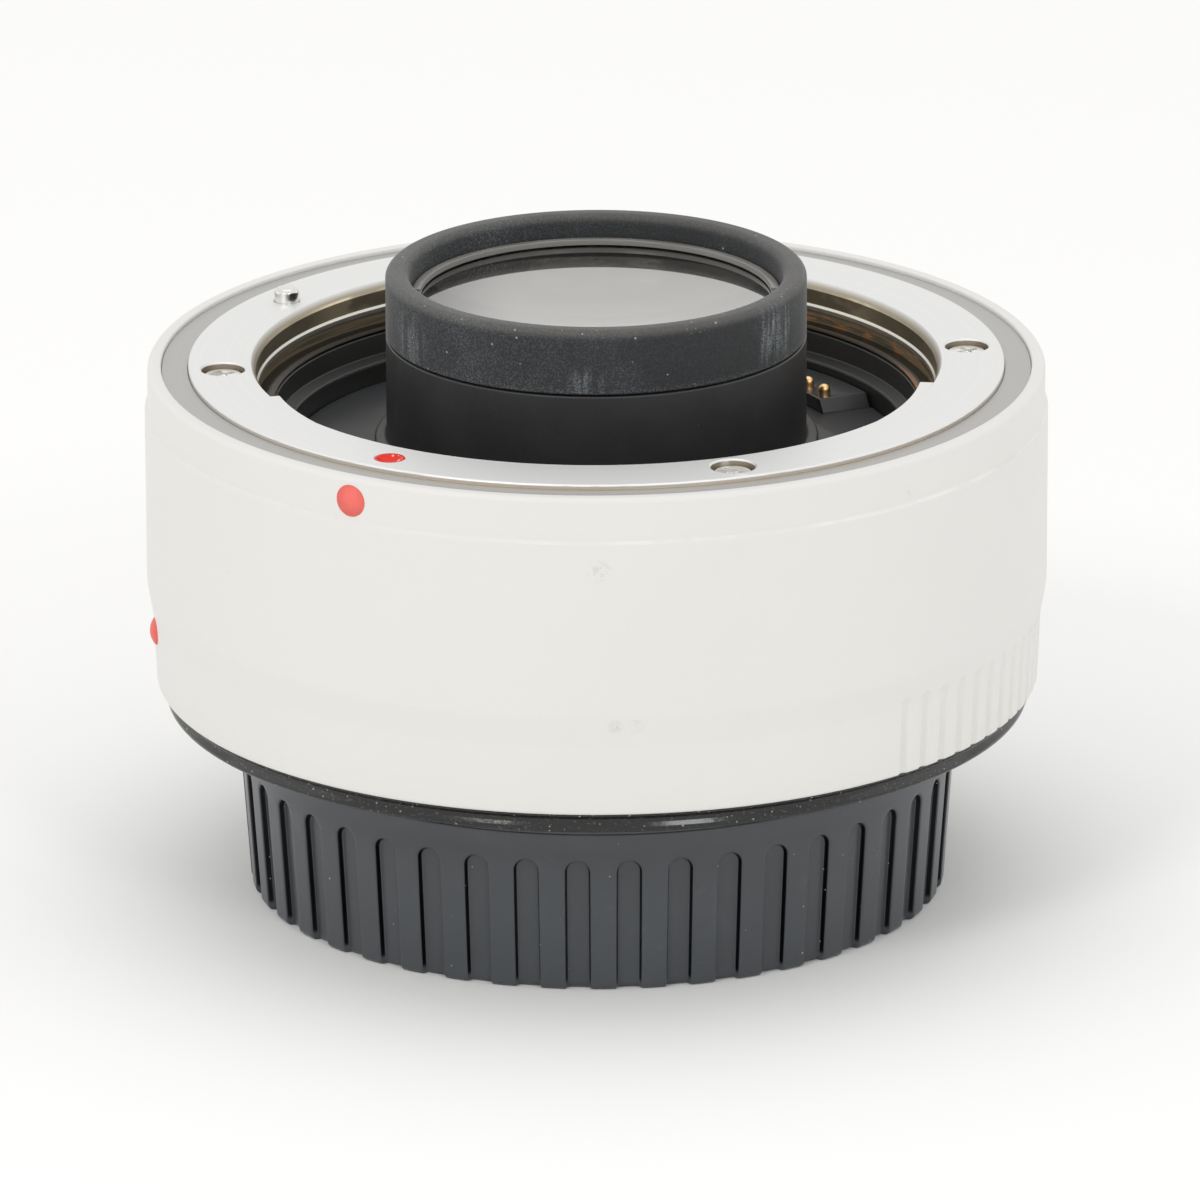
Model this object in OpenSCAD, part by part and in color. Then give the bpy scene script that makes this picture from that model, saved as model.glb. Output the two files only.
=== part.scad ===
// Lens-mount teleconverter standing on its rear cap, lens side up.
// Millimetres. Origin at the centre of the cap's base, +Z along the optical axis.
// Angles are counted from +X, counter-clockwise seen from above.

/* [Overall] */
// Distance from the camera flange to the lens flange
flange_gap = 27.2; // [26:0.2:31]
// Height of the rear cap
cap_h = 16; // [14.5:0.5:19]

/* [White barrel] */
// Outer diameter of the barrel
barrel_d = 72; // [66:0.5:80]
// Wall of the barrel at its middle
barrel_wall = 3; // [2.6:0.1:3.4]
// Width of the rim round the grey face ring
lip_w = 1.1; // [0.8:0.1:1.4]
// Rounding of that rim's outer edge
lip_round = 0.4; // [0.2:0.1:0.6]
// Height of the lens flange above that rim
flange_proud = 0.1; // [0.05:0.05:0.4]
// Height of the band above the upper crease
upper_band_h = 3.4; // [3.2:0.1:4.2]
// Step in radius at the upper crease
upper_step = 0.25; // [0.1:0.05:0.4]
// Height of the band below the lower crease
lower_band_h = 7.4; // [6.4:0.2:8.4]
// Step in radius below the lower crease
lower_step = 0.45; // [0.25:0.05:0.6]
// Height of the cone that makes that step
lower_cone_h = 0.8; // [0.5:0.1:2]
// Further taper of the lower band down to its foot
lower_taper = 0.25; // [0.1:0.05:0.4]
// Thickness of the inward lip at the foot
foot_lip_t = 0.9; // [0.7:0.1:1.2]
// Width of the foot round the rear mount
foot_w = 3.55; // [3.3:0.05:3.9]

/* [Grip grooves] */
// Angle from one groove to the next
rib_pitch_a = 3.6; // [3:0.1:6]
// Width of a groove's cutter
rib_w = 1.3; // [0.9:0.1:1.6]
// Depth of a groove
rib_depth = 0.2; // [0.1:0.05:0.3]
// Angle of the first groove
rib_from = -47.2; // [-60:0.2:0]
// Angle of the last groove
rib_to = 155; // [100:5:170]

/* [Lens mount] */
// Width of the grey face ring round the mount ring
face_w = 1.95; // [1.6:0.05:2.4]
// Width of the mount ring from its outer edge to the throat
mount_w = 5.5; // [5:0.1:6]
// Thickness of the mount ring
mount_t = 2.4; // [2.2:0.1:3]
// Height of the mount ring above the grey face ring
face_drop = 0.4; // [0.2:0.05:0.6]
// Height of the lead-in chamfer at the throat
throat_chamfer_h = 0.7; // [0.4:0.1:0.8]
// Width of the lead-in chamfer at the throat
throat_chamfer_w = 0.4; // [0.2:0.05:0.5]
// Radial height of a bayonet tab
tab_w = 1.1; // [0.8:0.05:1.2]
// Thickness of a bayonet tab
tab_t = 1.4; // [1:0.1:1.5]
// Arc of a bayonet tab in degrees
tab_arc = 52; // [44:2:56]
// Angle of the red lens index
index_a = 237.8; // [225:0.1:250]
// Diameter of the red index dimple
dimple_d = 2.4; // [2:0.1:2.6]
// Diameter of the red dot on the barrel
dot_d = 2.6; // [2.2:0.1:2.7]

/* [Screws] */
// Diameter of a mount screw's head
head_d = 3.1; // [2.8:0.1:3.3]
// Height of a mount screw's head
head_h = 0.9; // [0.7:0.1:1]
// Diameter of a mount screw's shank
shank_d = 1.7; // [1.4:0.1:2]
// Length of a mount screw's shank
shank_l = 6; // [5:0.5:7]

/* [Lens lock] */
// Angle of the lock pin and its lever
lock_a = 147.6; // [144:0.1:152]
// Diameter of the lock pin
pin_d = 2; // [1.6:0.1:2.1]
// Height of the lock pin above the flange
pin_h = 1.1; // [0.9:0.1:1.5]
// Travel of the lock slider
lock_travel = 2; // [1.8:0.1:2.2]
// Width of the release lever
lever_w = 8.6; // [7:0.2:10]
// Height of the release lever
lever_h = 5.2; // [4.6:0.2:5.4]
// Radial thickness of the release lever
lever_t = 1.8; // [1.6:0.1:2.2]

/* [Front well] */
// Depth of the well's floor below the lens flange
well_depth = 7.3; // [7:0.1:8]
// Height of the step round the floor
ledge_h = 1.7; // [1.3:0.1:2]
// Thickness of the well's floor
floor_t = 1.2; // [1:0.1:1.4]
// Distance of the row of contact pins in from the throat
contact_in = 6.1; // [5.6:0.1:6.4]
// Diameter of a contact pin
contact_d = 1; // [0.8:0.05:1.1]
// Angle from one contact pin to the next
contact_pitch_a = 6.5; // [6.2:0.1:6.8]
// Height of the contact block above the floor
block_h = 1; // [0.8:0.1:1.2]
// Height of a contact pin above its block
contact_h = 0.95; // [0.9:0.05:1.1]
// Travel of the contact pins
contact_travel = 0.8; // [0.6:0.05:0.85]

/* [Front barrel] */
// Width of the well from the throat to the front tube
well_w = 10.25; // [9.6:0.05:10.8]
// Height of the collar's top above the lens flange
collar_top_h = 7.45; // [7:0.05:8.2]
// Height of the tube's shoulder above the lens flange
shoulder_h = 2.1; // [1.5:0.1:2.6]
// Gap of the seam between tube and collar
seam_gap = 0.15; // [0.1:0.05:0.3]
// Radial wall of the rubber collar
collar_wall = 1.2; // [1:0.1:1.4]
// Wall of the tube's neck inside the collar
neck_wall = 0.8; // [0.7:0.1:1.1]
// Height of the collar's soft lip above the neck
collar_lip_h = 2.05; // [1.6:0.05:2.2]
// Width of the foot flange round the tube
tube_foot_w = 0.95; // [0.6:0.05:1.2]
// Height of the foot flange round the tube
tube_foot_h = 1.1; // [0.8:0.1:1.3]

/* [Glass] */
// Height of the middle of the front glass above the lens flange
vertex_h = 4.3; // [4:0.1:4.5]
// Step in radius from the front element to the middle elements
inner_step = 2.05; // [1.8:0.05:2.5]

/* [Camera mount] */
// Width of the rear mount's face round the male bayonet tube
rear_w = 6.6; // [6.2:0.1:7.2]
// Thickness of the rear mount's flange
rear_t = 2; // [1.8:0.1:2.4]
// Length of the male bayonet tube
male_l = 6.6; // [6:0.1:7.4]
// Radial height of a male tab
male_tab_w = 1.4; // [1:0.1:1.5]
// Thickness of a male tab
male_tab_t = 1.7; // [1.4:0.1:2]
// Depth of a male tab below the camera flange
male_tab_drop = 3.5; // [3.3:0.1:3.8]
// Depth of the rubber seal's edge below the camera flange
seal_drop = 0.7; // [0.4:0.1:1]

/* [Rear cap] */
// Wall of the cap at its base
cap_wall = 1.2; // [1.1:0.05:1.6]
// Draft of the cap's side in degrees
cap_draft = 4; // [3:0.5:5]
// Thickness of the cap's floor
cap_floor_t = 2; // [1.6:0.1:2.6]
// Number of grip grooves round the cap
cap_grooves = 44; // [36:1:48]
// Width of a cap groove
cap_groove_w = 2.1; // [1.6:0.1:2.3]
// Depth of a cap groove
cap_groove_depth = 0.5; // [0.3:0.05:0.6]
// Height of the top of the cap grooves
cap_groove_top = 11.1; // [9:0.1:12]
// Drop of the fine line round the cap's side below its top
cap_line_drop = 2.7; // [2.2:0.1:3]
// Depth of that line
cap_line_depth = 0.1; // [0.05:0.05:0.2]

/* [Hidden] */
$fn = 96;

// Named clearances
cut = 1;             // how far a cutter runs past the face it opens
slip = 0.1;          // gap between fixed pieces that slide together
run = 0.03;          // radial clearance of a pin that runs in a hole
thread_gap = 0.02;   // radial clearance of a screw in its thread
hole_gap = 0.1;      // radial clearance of a screw in a plain hole
cement = 0.02;       // cement line between two elements
cap_gap = 0.1;       // gap between the cap's rim and the camera flange
turn_gap = 0.35;     // gap round parts that turn with the cap
lug_gap = 0.3;       // gap between a cap lug and a male tab
lever_gap = 0.3;     // gap round the release lever

// Heights of the main planes
cam_z = cap_h + cap_gap;
lens_z = cam_z + flange_gap;
rim_z = lens_z - flange_proud;
seat_z = lens_z - mount_t;
rear_top_z = cam_z + rear_t;
foot_z = rear_top_z - foot_lip_t;
crease_hi_z = rim_z - upper_band_h;
crease_lo_z = foot_z + lower_band_h;

// Radii of the barrel and the frame inside it
barrel_r = barrel_d / 2;
barrel_in_r = barrel_r - barrel_wall;
upper_r = barrel_r - upper_step;
lower_r = barrel_r - lower_step;
foot_r = lower_r - lower_taper;
lip_r = upper_r - lip_w;
foot_fit = 0.15;
foot_in_r = foot_r - foot_w;
rear_r = foot_in_r - foot_fit;
foot_edge = 0.25;
frame_wall = 1.2;
frame_r = barrel_in_r - slip;
frame_in_r = frame_r - frame_wall;

// Grip grooves: the cutter leans with the lower band and stops short of its cone
rib_count = floor((rib_to - rib_from) / rib_pitch_a) + 1;
rib_end = 0.2;
rib_len = lower_band_h - lower_cone_h - rib_end;
rib_lean = atan(lower_taper / (lower_band_h - lower_cone_h));

// Lens mount ring
mount_r = lip_r - face_w - 2 * slip;
throat_r = mount_r - mount_w;
throat_wall_r = throat_r + slip;
mount_edge = 0.15;
under_edge = 0.3;
tab_r = throat_r - tab_w;
tab_z = seat_z + slip;
tab_angles = [88, 221, 326];
screw_r = (mount_r + throat_r) / 2;
spread_angles = [53, 128.3];
screw_angles = [for (s = spread_angles, side = [-1, 1]) index_a + side * s];
head_sink = 0.2;
head_room = 0.2;
bore_d = head_d + 2 * head_room;
bore_h = head_h + head_sink;
slot_w = 0.42;
slot_l = 2;
slot_h = 0.5;
slot_turn = 25;
slot_share = 0.7;
dimple_shift = 0.4;
dimple_r = screw_r + dimple_shift;
dimple_t = 0.8;
dimple_ball = 1.5;
dimple_sink = 0.4;
dot_drop = 1.85;
dot_z = rim_z - dot_drop;
dot_t = 0.35;
dot_proud = 0.03;

// Front well: liner, step, floor and contact block
floor_z = lens_z - well_depth;
step_in = 1.4;
step_drop = 3.7;
step_r = throat_r - step_in;
step_z = lens_z - step_drop;
step_t = 0.8;
liner_flange_t = 1;
liner_flange_z = seat_z - liner_flange_t;
boss_wall = 0.95;
boss_r = shank_d / 2 + boss_wall;
liner_neck_r = screw_r - boss_r - slip;
liner_wall = 1;
ledge_w = 1.2;
ledge_r = step_r - ledge_w;
liner_r = step_r + liner_wall;
ledge_edge = 0.15;
floor_r = ledge_r - slip;
floor_lip_w = 1.2;
board_t = 1;
board_gap = 1.4;
web_t = 1.5;
web_z = floor_z - floor_t - board_gap - board_t;
board_z = web_z + board_t;
board_r = ledge_r - floor_lip_w - slip;
liner_flange_r = frame_in_r - 2 * slip;

spring_t = 0.3;
wave_h = 0.4;
wave_arc = 24;
wave_steps = 90;

contact_count = 10;
half_turn = 180;
contact_mid = index_a - half_turn;
contact_half = contact_pitch_a * (contact_count - 1) / 2;
contact_angles = [for (i = [0 : contact_count - 1]) contact_mid - contact_half + i * contact_pitch_a];
contact_r = throat_r - contact_in;
block_edge = 0.9;
block_in_r = contact_r - block_edge;
block_r = floor_r - slip;
block_foot_r = board_r - slip;
block_end_deg = 2.4;
block_half = contact_half + block_end_deg;
ramp_deg = 1.9;
block_slot_deg = 0.3;
ramp_room = 4;
block_z = floor_z + block_h;
contact_tip_z = block_z + contact_h;
collar_w = 0.12;
collar_gap = 0.05;
collar_r = contact_d / 2 + collar_w;
collar_h = 0.4;
collar_bore_r = collar_r + collar_gap;
shelf_z = floor_z - slip;
collar_z = shelf_z - collar_gap;
tail_step = 0.22;
tail_r = contact_d / 2 - tail_step;
tail_l = 0.5;
contact_wire = 0.07;
contact_coil_r = tail_r + contact_wire + slip;
contact_turns = 3;
contact_steps = 8;
contact_sides = 4;

// Front tube, collar and its lip
tube_r = throat_r - well_w;
shoulder_z = lens_z + shoulder_h;
collar_z0 = shoulder_z + seam_gap;
collar_top_z = lens_z + collar_top_h;
neck_r = tube_r - collar_wall - slip;
bore_r = neck_r - neck_wall;
neck_top_z = collar_top_z - collar_lip_h;
collar_round = 0.6;
collar_soft = 0.6;
seam_edge = 0.12;
lip_set = 0.25;
lip_in_r = bore_r + lip_set;
cell_step = 0.45;
cell_r = bore_r + cell_step;

// Glass: vertices counted down from the front
glass_r = bore_r - slip;
group_2_r = glass_r - inner_step;
group_3_more = 0.3;
group_3_r = group_2_r + group_3_more;
stop_w = 1.2;
stop_r = group_2_r - stop_w;
// Radius of curvature of each surface, as a multiple of its element's own radius
bend_share = [8.8, 3.16, 5.6, 3.2, 2.4, 2.24, 4.8, 5.5, 2.7, 7];
curve_1 = bend_share[0] * glass_r;
curve_2 = bend_share[1] * glass_r;
curve_3 = bend_share[2] * glass_r;
curve_4 = bend_share[3] * group_2_r;
curve_5 = bend_share[4] * group_2_r;
curve_6 = bend_share[5] * group_2_r;
curve_7 = bend_share[6] * group_2_r;
curve_8 = bend_share[7] * group_3_r;
curve_9 = bend_share[8] * group_3_r;
curve_10 = bend_share[9] * group_3_r;
function sag(curve, r) = curve - sqrt(curve * curve - r * r);
// Elements 1, 4 and 6 from the thickness of their edge, the others from that of their middle
edge_1 = 3.7;
edge_4 = 1.1;
edge_6 = 1.4;
thick_1 = edge_1 - sag(curve_1, glass_r) + sag(curve_2, glass_r);
thick_2 = 1.8;
thick_3 = 1.4;
thick_4 = edge_4 + sag(curve_5, group_2_r) + sag(curve_6, group_2_r);
thick_5 = 1.4;
thick_6 = edge_6 + sag(curve_8, group_3_r) + sag(curve_9, group_3_r);
thick_7 = 1.8;
middle_ring_h = 1.1;
middle_ring_gap = 0.6;
stop_t = 2;
air_1 = middle_ring_h + middle_ring_gap + sag(curve_3, glass_r) + sag(curve_4, group_2_r);
air_2 = stop_t + sag(curve_7, group_2_r) - sag(curve_8, stop_r);
v1 = lens_z + vertex_h;
v2 = v1 - thick_1;
v3 = v2 - thick_2;
v4 = v3 - air_1;
v5 = v4 - thick_3;
v6 = v5 - thick_4;
v7 = v6 - thick_5;
v8 = v7 - air_2;
v9 = v8 - thick_6;
v10 = v9 - thick_7;
group_1_foot = v3 - sag(curve_3, glass_r);
group_2_top = v4 + sag(curve_4, group_2_r);
group_2_foot = v7 - sag(curve_7, group_2_r);
group_3_seat = v8 - sag(curve_8, stop_r) + cement;
group_3_foot = v10 - sag(curve_10, group_3_r);
ring_w = 1;
front_ring_w = 0.6;
ring_notch_w = 1.4;
ring_notch_h = 0.5;
front_ring_h = 0.45;
front_ring_notch = 0.25;
front_ring_z = v1 + sag(curve_1, glass_r) + 2 * cement;
front_ring_top = front_ring_z + front_ring_h;
rear_ring_h = 1.7;
cell_top = group_1_foot - cement;
cell_skirt = 0.6;
cell_foot = group_3_foot - rear_ring_h - cell_skirt;
cell_flange_w = 3.7;
cell_flange_t = 1.5;
cell_screw_d = 1.2;
cell_screw_shift = 0.15;
cell_screw_tip = 0.3;
cell_screw_r = cell_r + cell_flange_w / 2 + cell_screw_shift;
cell_screw_angles = [20, 140, 260];
cell_head_d = 2.2;
cell_head_h = 0.8;
chip_w = 4;
chip_t = 0.9;
chip_a = 240;
chip_r = (tube_r + board_r) / 2;

// Lens lock: pin, carrier, arm, lever and spring
pin_in = 2.6;
pin_r = throat_r + pin_in;
pin_tip_z = lens_z + pin_h;
pin_edge = 0.25;
carrier_gap = 0.4;
carrier_in_r = liner_r + carrier_gap;
carrier_out_r = frame_in_r - carrier_gap;
carrier_w = 5;
carrier_h = 3.2;
carrier_room = 1.4;
carrier_z1 = liner_flange_z - carrier_room;
carrier_z0 = carrier_z1 - carrier_h;
pocket_h = 1.6;
coil_r = 1;
coil_wire = 0.3;
coil_turns = 5;
coil_steps = 16;
coil_sides = 6;
coil_gap = 0.15;
coil_pocket_r = coil_r + coil_wire / 2 + coil_gap;
post_r = coil_r - coil_wire / 2 - coil_gap;
post_h = 2;
arm_w = 2.4;
arm_h = 2;
arm_drop = 0.5;
arm_z1 = carrier_z1 - arm_drop;
arm_z0 = arm_z1 - arm_h;
arm_gap = 0.2;
lever_pocket = 1.4;
lever_seat = barrel_r - lever_pocket;
lever_in = lever_seat + slip;
lever_mid_z = arm_z0 + arm_h / 2;
lever_z0 = lever_mid_z - lever_h / 2;
lever_out = lever_in + lever_t;
ridge_r = 0.45;
ridge_gap = 1.4;
lever_screw_d = 1.2;
lever_head_d = 2;
lever_head_h = 0.7;
lever_screw_l = 2.6;

// Camera mount, rubber seal and rear contacts
male_r = rear_r - rear_w;
male_wall = 1.4;
male_in_r = male_r - male_wall;
male_z = cam_z - male_l;
male_tab_r = male_r + male_tab_w;
male_tab_z1 = cam_z - male_tab_drop;
male_tab_z0 = male_tab_z1 - male_tab_t;
male_tab_arc = 50;
male_tab_angles = [30, 150, 270];
male_edge = 0.4;
rear_screw_shift = 0.2;
rear_screw_r = (rear_r + male_r) / 2 + rear_screw_shift;
rear_screw_angles = [for (i = [0 : 3]) index_a + 45 + i * 90];
rear_boss_h = 5;
seal_gap = 0.05;
seal_inset = 0.3;
seal_flare = 0.9;
seal_in_r = rear_r + seal_gap;
seal_out_r = foot_r - seal_inset;
seal_tip_r = seal_out_r - seal_flare;
seal_z = cam_z - seal_drop;
seal_tip_w = 0.5;
seal_web = 0.9;
baffle_seat = 2;
baffle_r = male_in_r + baffle_seat;
baffle_t = 1;
baffle_gap = 0.25;
baffle_in_r = cell_r + baffle_gap;
baffle_tube_wall = 1;
baffle_drop = 1.2;
baffle_foot_z = cell_foot - baffle_drop;
rear_block_r = male_in_r - slip;
rear_block_w = 3.6;
rear_block_lift = 0.7;
rear_block_deg = 3;
rear_block_in_r = rear_block_r - rear_block_w;
rear_block_z = male_z + rear_block_lift;
rear_pad_r = (rear_block_r + rear_block_in_r) / 2;
rear_pad_d = 1.7;
rear_pad_t = 0.35;
rear_pad_proud = 0.05;
dome_a = 187.5;
dome_d = 2.3;
dome_lift = 4.9;
dome_z = foot_z + dome_lift;
dome_sink = 1.4;
dome_rise = 0.45;

// Rear cap
cap_in_r = male_tab_r + turn_gap;
cap_r = cap_in_r + cap_wall;
cap_edge = 0.5;
function cap_side(z) = cap_r + (z - cap_edge) * tan(cap_draft);
cap_line_w = 0.3;
cap_line_z = cap_h - cap_line_drop;
cap_line_z0 = cap_line_z - cap_line_w / 2;
cap_line_z1 = cap_line_z + cap_line_w / 2;
cap_lug_z0 = male_tab_z1 + lug_gap;
cap_lug_t = 1.8;
cap_lug_in_r = male_r + turn_gap;
cap_lug_arc = 44;
cap_rim_w = 7.95;
cap_recess_r = cap_r - cap_rim_w;
cap_recess_h = 0.4;
cap_phase = 270.9;
cap_wall_room = 4;

// A plain tube between two heights
module tube(r_in, r_out, z0, z1) {
    translate([0, 0, z0])
        difference() {
            cylinder(r = r_out, h = z1 - z0);
            translate([0, 0, -cut])
                cylinder(r = r_in, h = z1 - z0 + 2 * cut);
        }
}

// A sector of a tube between two angles
module sector(r_in, r_out, z0, z1, a0, a1) {
    rotate([0, 0, a0])
        rotate_extrude(angle = a1 - a0)
            translate([r_in, z0])
                square([r_out - r_in, z1 - z0]);
}

// Places children at a radius, an angle and a height, with local X pointing outwards
module polar(r, a, z) {
    rotate([0, 0, a])
        translate([r, 0, z])
            children();
}

// A round peg or hole along local X, from one distance off the axis to another
module radial_peg(a, z, r, from_r, to_r) {
    polar(from_r, a, z)
        rotate([0, 90, 0])
            cylinder(r = r, h = to_r - from_r);
}

// A box in the lever's own frame: local X outwards, centred across
module lock_box(from_r, to_r, w, z0, z1) {
    polar(from_r, lock_a, z0)
        translate([0, -w / 2, 0])
            cube([to_r - from_r, w, z1 - z0]);
}

// A screw with its head's top at z = 0 and a cross recess, pointing down
module screw(head_r, head_t, shank_r, length, slot_t, slot_run) {
    difference() {
        union() {
            translate([0, 0, -head_t])
                cylinder(r = head_r, h = head_t);
            translate([0, 0, -head_t - length])
                cylinder(r = shank_r, h = length + head_t / 2);
        }
        for (turn = [0, 90])
            rotate([0, 0, turn])
                translate([-slot_run / 2, -slot_t / 2, -slot_h])
                    cube([slot_run, slot_t, slot_h + cut]);
    }
}

// A ball with enough segments for a shallow glass surface
module glass_ball(r) {
    sphere(r = r, $fn = 360);
}

// Glass shapes: zf and zb are the vertices, cf and cb the radii of curvature
module biconvex(r, zf, cf, zb, cb) {
    intersection() {
        translate([0, 0, zb])
            cylinder(r = r, h = zf - zb);
        translate([0, 0, zf - cf])
            glass_ball(cf);
        translate([0, 0, zb + cb])
            glass_ball(cb);
    }
}

module meniscus(r, zf, cf, zb, cb) {
    difference() {
        intersection() {
            translate([0, 0, zb])
                cylinder(r = r, h = zf + sag(cf, r) - zb);
            translate([0, 0, zb + cb])
                glass_ball(cb);
        }
        translate([0, 0, zf + cf])
            glass_ball(cf);
    }
}

module biconcave(r, zf, cf, zb, cb) {
    top = zf + sag(cf, r);
    foot = zb - sag(cb, r);
    difference() {
        translate([0, 0, foot])
            cylinder(r = r, h = top - foot);
        translate([0, 0, zf + cf])
            glass_ball(cf);
        translate([0, 0, zb - cb])
            glass_ball(cb);
    }
}

// A retaining ring with two key notches in one face
module key_ring(r_in, r_out, z0, z1, notch_z) {
    difference() {
        tube(r_in, r_out, z0, z1);
        translate([-r_out - cut, -ring_notch_w / 2, notch_z])
            cube([2 * r_out + 2 * cut, ring_notch_w, ring_notch_h]);
    }
}

// Points of a helix and of the wire swept along it
function helix_point(r, z0, z1, turns, f) =
    [r * cos(360 * turns * f), r * sin(360 * turns * f), z0 + (z1 - z0) * f];
function wire_ring(r, z0, z1, turns, wire, sides, f) =
    let (c = helix_point(r, z0, z1, turns, f), a = 360 * turns * f)
    [for (k = [0 : sides - 1])
        let (q = 360 * k / sides)
        [c.x + wire * cos(q) * cos(a), c.y + wire * cos(q) * sin(a), c.z + wire * sin(q)]];

// A coil spring as one swept wire
module coil(r, z0, z1, turns, wire, steps, sides) {
    n = turns * steps;
    low = z0 + wire;
    high = z1 - wire;
    points = [for (i = [0 : n]) each wire_ring(r, low, high, turns, wire, sides, i / n)];
    skin = [for (i = [0 : n - 1], k = [0 : sides - 1])
        let (a = i * sides + k, b = i * sides + (k + 1) % sides)
        each [[a, a + sides, b], [b, a + sides, b + sides]]];
    first = [for (k = [1 : sides - 2]) [0, k, k + 1]];
    last = [for (k = [1 : sides - 2]) [n * sides, n * sides + k + 1, n * sides + k]];
    polyhedron(points = points, faces = concat(skin, first, last));
}

module outer_barrel() {
    color("whitesmoke")
        difference() {
            rotate_extrude()
                union() {
                    polygon([
                        [foot_in_r, foot_z],
                        [foot_r - foot_edge, foot_z],
                        [foot_r, foot_z + foot_edge],
                        [lower_r, crease_lo_z - lower_cone_h],
                        [barrel_r, crease_lo_z],
                        [barrel_r, crease_hi_z - upper_step],
                        [upper_r, crease_hi_z],
                        [upper_r, rim_z - lip_round],
                        [upper_r - lip_round, rim_z],
                        [lip_r, rim_z],
                        [lip_r, seat_z],
                        [barrel_in_r, seat_z],
                        [barrel_in_r, rear_top_z],
                        [foot_in_r, rear_top_z]
                    ]);
                    translate([upper_r - lip_round, rim_z - lip_round])
                        circle(r = lip_round);
                }
            for (i = [0 : rib_count - 1])
                grip_cutter(rib_from + i * rib_pitch_a);
            lock_box(lever_seat, barrel_r + cut, lever_w + 2 * lever_gap,
                lever_z0 - lock_travel - lever_gap, lever_z0 + lever_h + lever_gap);
            lock_box(barrel_in_r - cut, lever_seat + cut, arm_w + 2 * arm_gap,
                arm_z0 - lock_travel - arm_gap, arm_z1 + arm_gap);
            intersection() {
                tube(upper_r - dot_t, barrel_r + cut, crease_hi_z, rim_z);
                radial_peg(index_a, dot_z, dot_d / 2, barrel_in_r, barrel_r + cut);
            }
            radial_peg(dome_a, dome_z, dome_d / 2, lower_r - dome_sink, barrel_r + cut);
        }
}

// One grip groove, leaning out from the foot to the top of the lower band
module grip_cutter(a) {
    polar(foot_r - rib_depth + rib_w / 2, a, foot_z)
        rotate([0, rib_lean, 0])
            translate([0, 0, -cut])
                cylinder(r = rib_w / 2, h = rib_len + cut, $fn = 24);
}

module face_ring() {
    color("silver")
        tube(mount_r + slip, lip_r - slip, seat_z, lens_z - face_drop);
}

module front_mount_ring() {
    color("gainsboro")
        difference() {
            union() {
                rotate_extrude()
                    polygon([
                        [throat_wall_r + under_edge, seat_z],
                        [mount_r, seat_z],
                        [mount_r, lens_z - mount_edge],
                        [mount_r - mount_edge, lens_z],
                        [throat_wall_r + throat_chamfer_w, lens_z],
                        [throat_wall_r, lens_z - throat_chamfer_h],
                        [throat_wall_r, seat_z + under_edge]
                    ]);
                for (a = tab_angles)
                    sector(tab_r, throat_wall_r + under_edge / 2, tab_z + under_edge / 2,
                        tab_z + tab_t, a - tab_arc / 2, a + tab_arc / 2);
            }
            for (a = screw_angles) {
                polar(screw_r, a, lens_z - bore_h)
                    cylinder(r = bore_d / 2, h = bore_h + cut);
                polar(screw_r, a, seat_z - cut)
                    cylinder(r = shank_d / 2 + hole_gap, h = mount_t + cut);
            }
            polar(pin_r, lock_a, seat_z - cut)
                cylinder(r = pin_d / 2 + run, h = mount_t + 2 * cut);
            polar(dimple_r, index_a, lens_z - dimple_t)
                cylinder(r = dimple_d / 2, h = dimple_t + cut);
        }
}

module front_mount_screws() {
    color("lightgray")
        for (a = screw_angles)
            polar(screw_r, a, lens_z - head_sink)
                rotate([0, 0, slot_turn])
                    screw(head_d / 2, head_h, shank_d / 2, shank_l, slot_w, slot_l);
}

module mount_index_dimple() {
    color("red")
        polar(dimple_r, index_a, lens_z - dimple_t)
            difference() {
                cylinder(r = dimple_d / 2 - thread_gap, h = dimple_t);
                translate([0, 0, dimple_t - dimple_sink + dimple_ball])
                    sphere(r = dimple_ball);
            }
}

module lens_index_dot() {
    color("tomato")
        intersection() {
            tube(upper_r - dot_t + thread_gap, upper_r + dot_proud, crease_hi_z, rim_z);
            radial_peg(index_a, dot_z, dot_d / 2 - thread_gap, barrel_in_r, barrel_r);
        }
}

// Height of the wave spring's crest at an angle: one hump under each bayonet tab
function turn_between(a, b) = let (d = abs(a - b) % 360) min(d, 360 - d);
function nearest_tab(a) = min([for (t = tab_angles) turn_between(a, t)]);
function wave(a) =
    let (d = nearest_tab(a))
    d < wave_arc ? wave_h * pow(cos(90 * d / wave_arc), 2) : 0;

module bayonet_spring() {
    r_in = step_r + slip;
    r_out = throat_wall_r - slip;
    n = wave_steps;
    z0 = step_z + thread_gap;
    points = [for (i = [0 : n - 1])
        let (a = 360 * i / n, z = z0 + wave(a), c = cos(a), s = sin(a))
        each [
            [r_in * c, r_in * s, z],
            [r_out * c, r_out * s, z],
            [r_out * c, r_out * s, z + spring_t],
            [r_in * c, r_in * s, z + spring_t]
        ]];
    faces = [for (i = [0 : n - 1], k = [0 : 3])
        let (a = i * 4 + k, b = i * 4 + (k + 1) % 4, c = ((i + 1) % n) * 4 + k,
            d = ((i + 1) % n) * 4 + (k + 1) % 4)
        each [[a, c, b], [b, c, d]]];
    color("dimgray")
        polyhedron(points = points, faces = faces);
}

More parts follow.
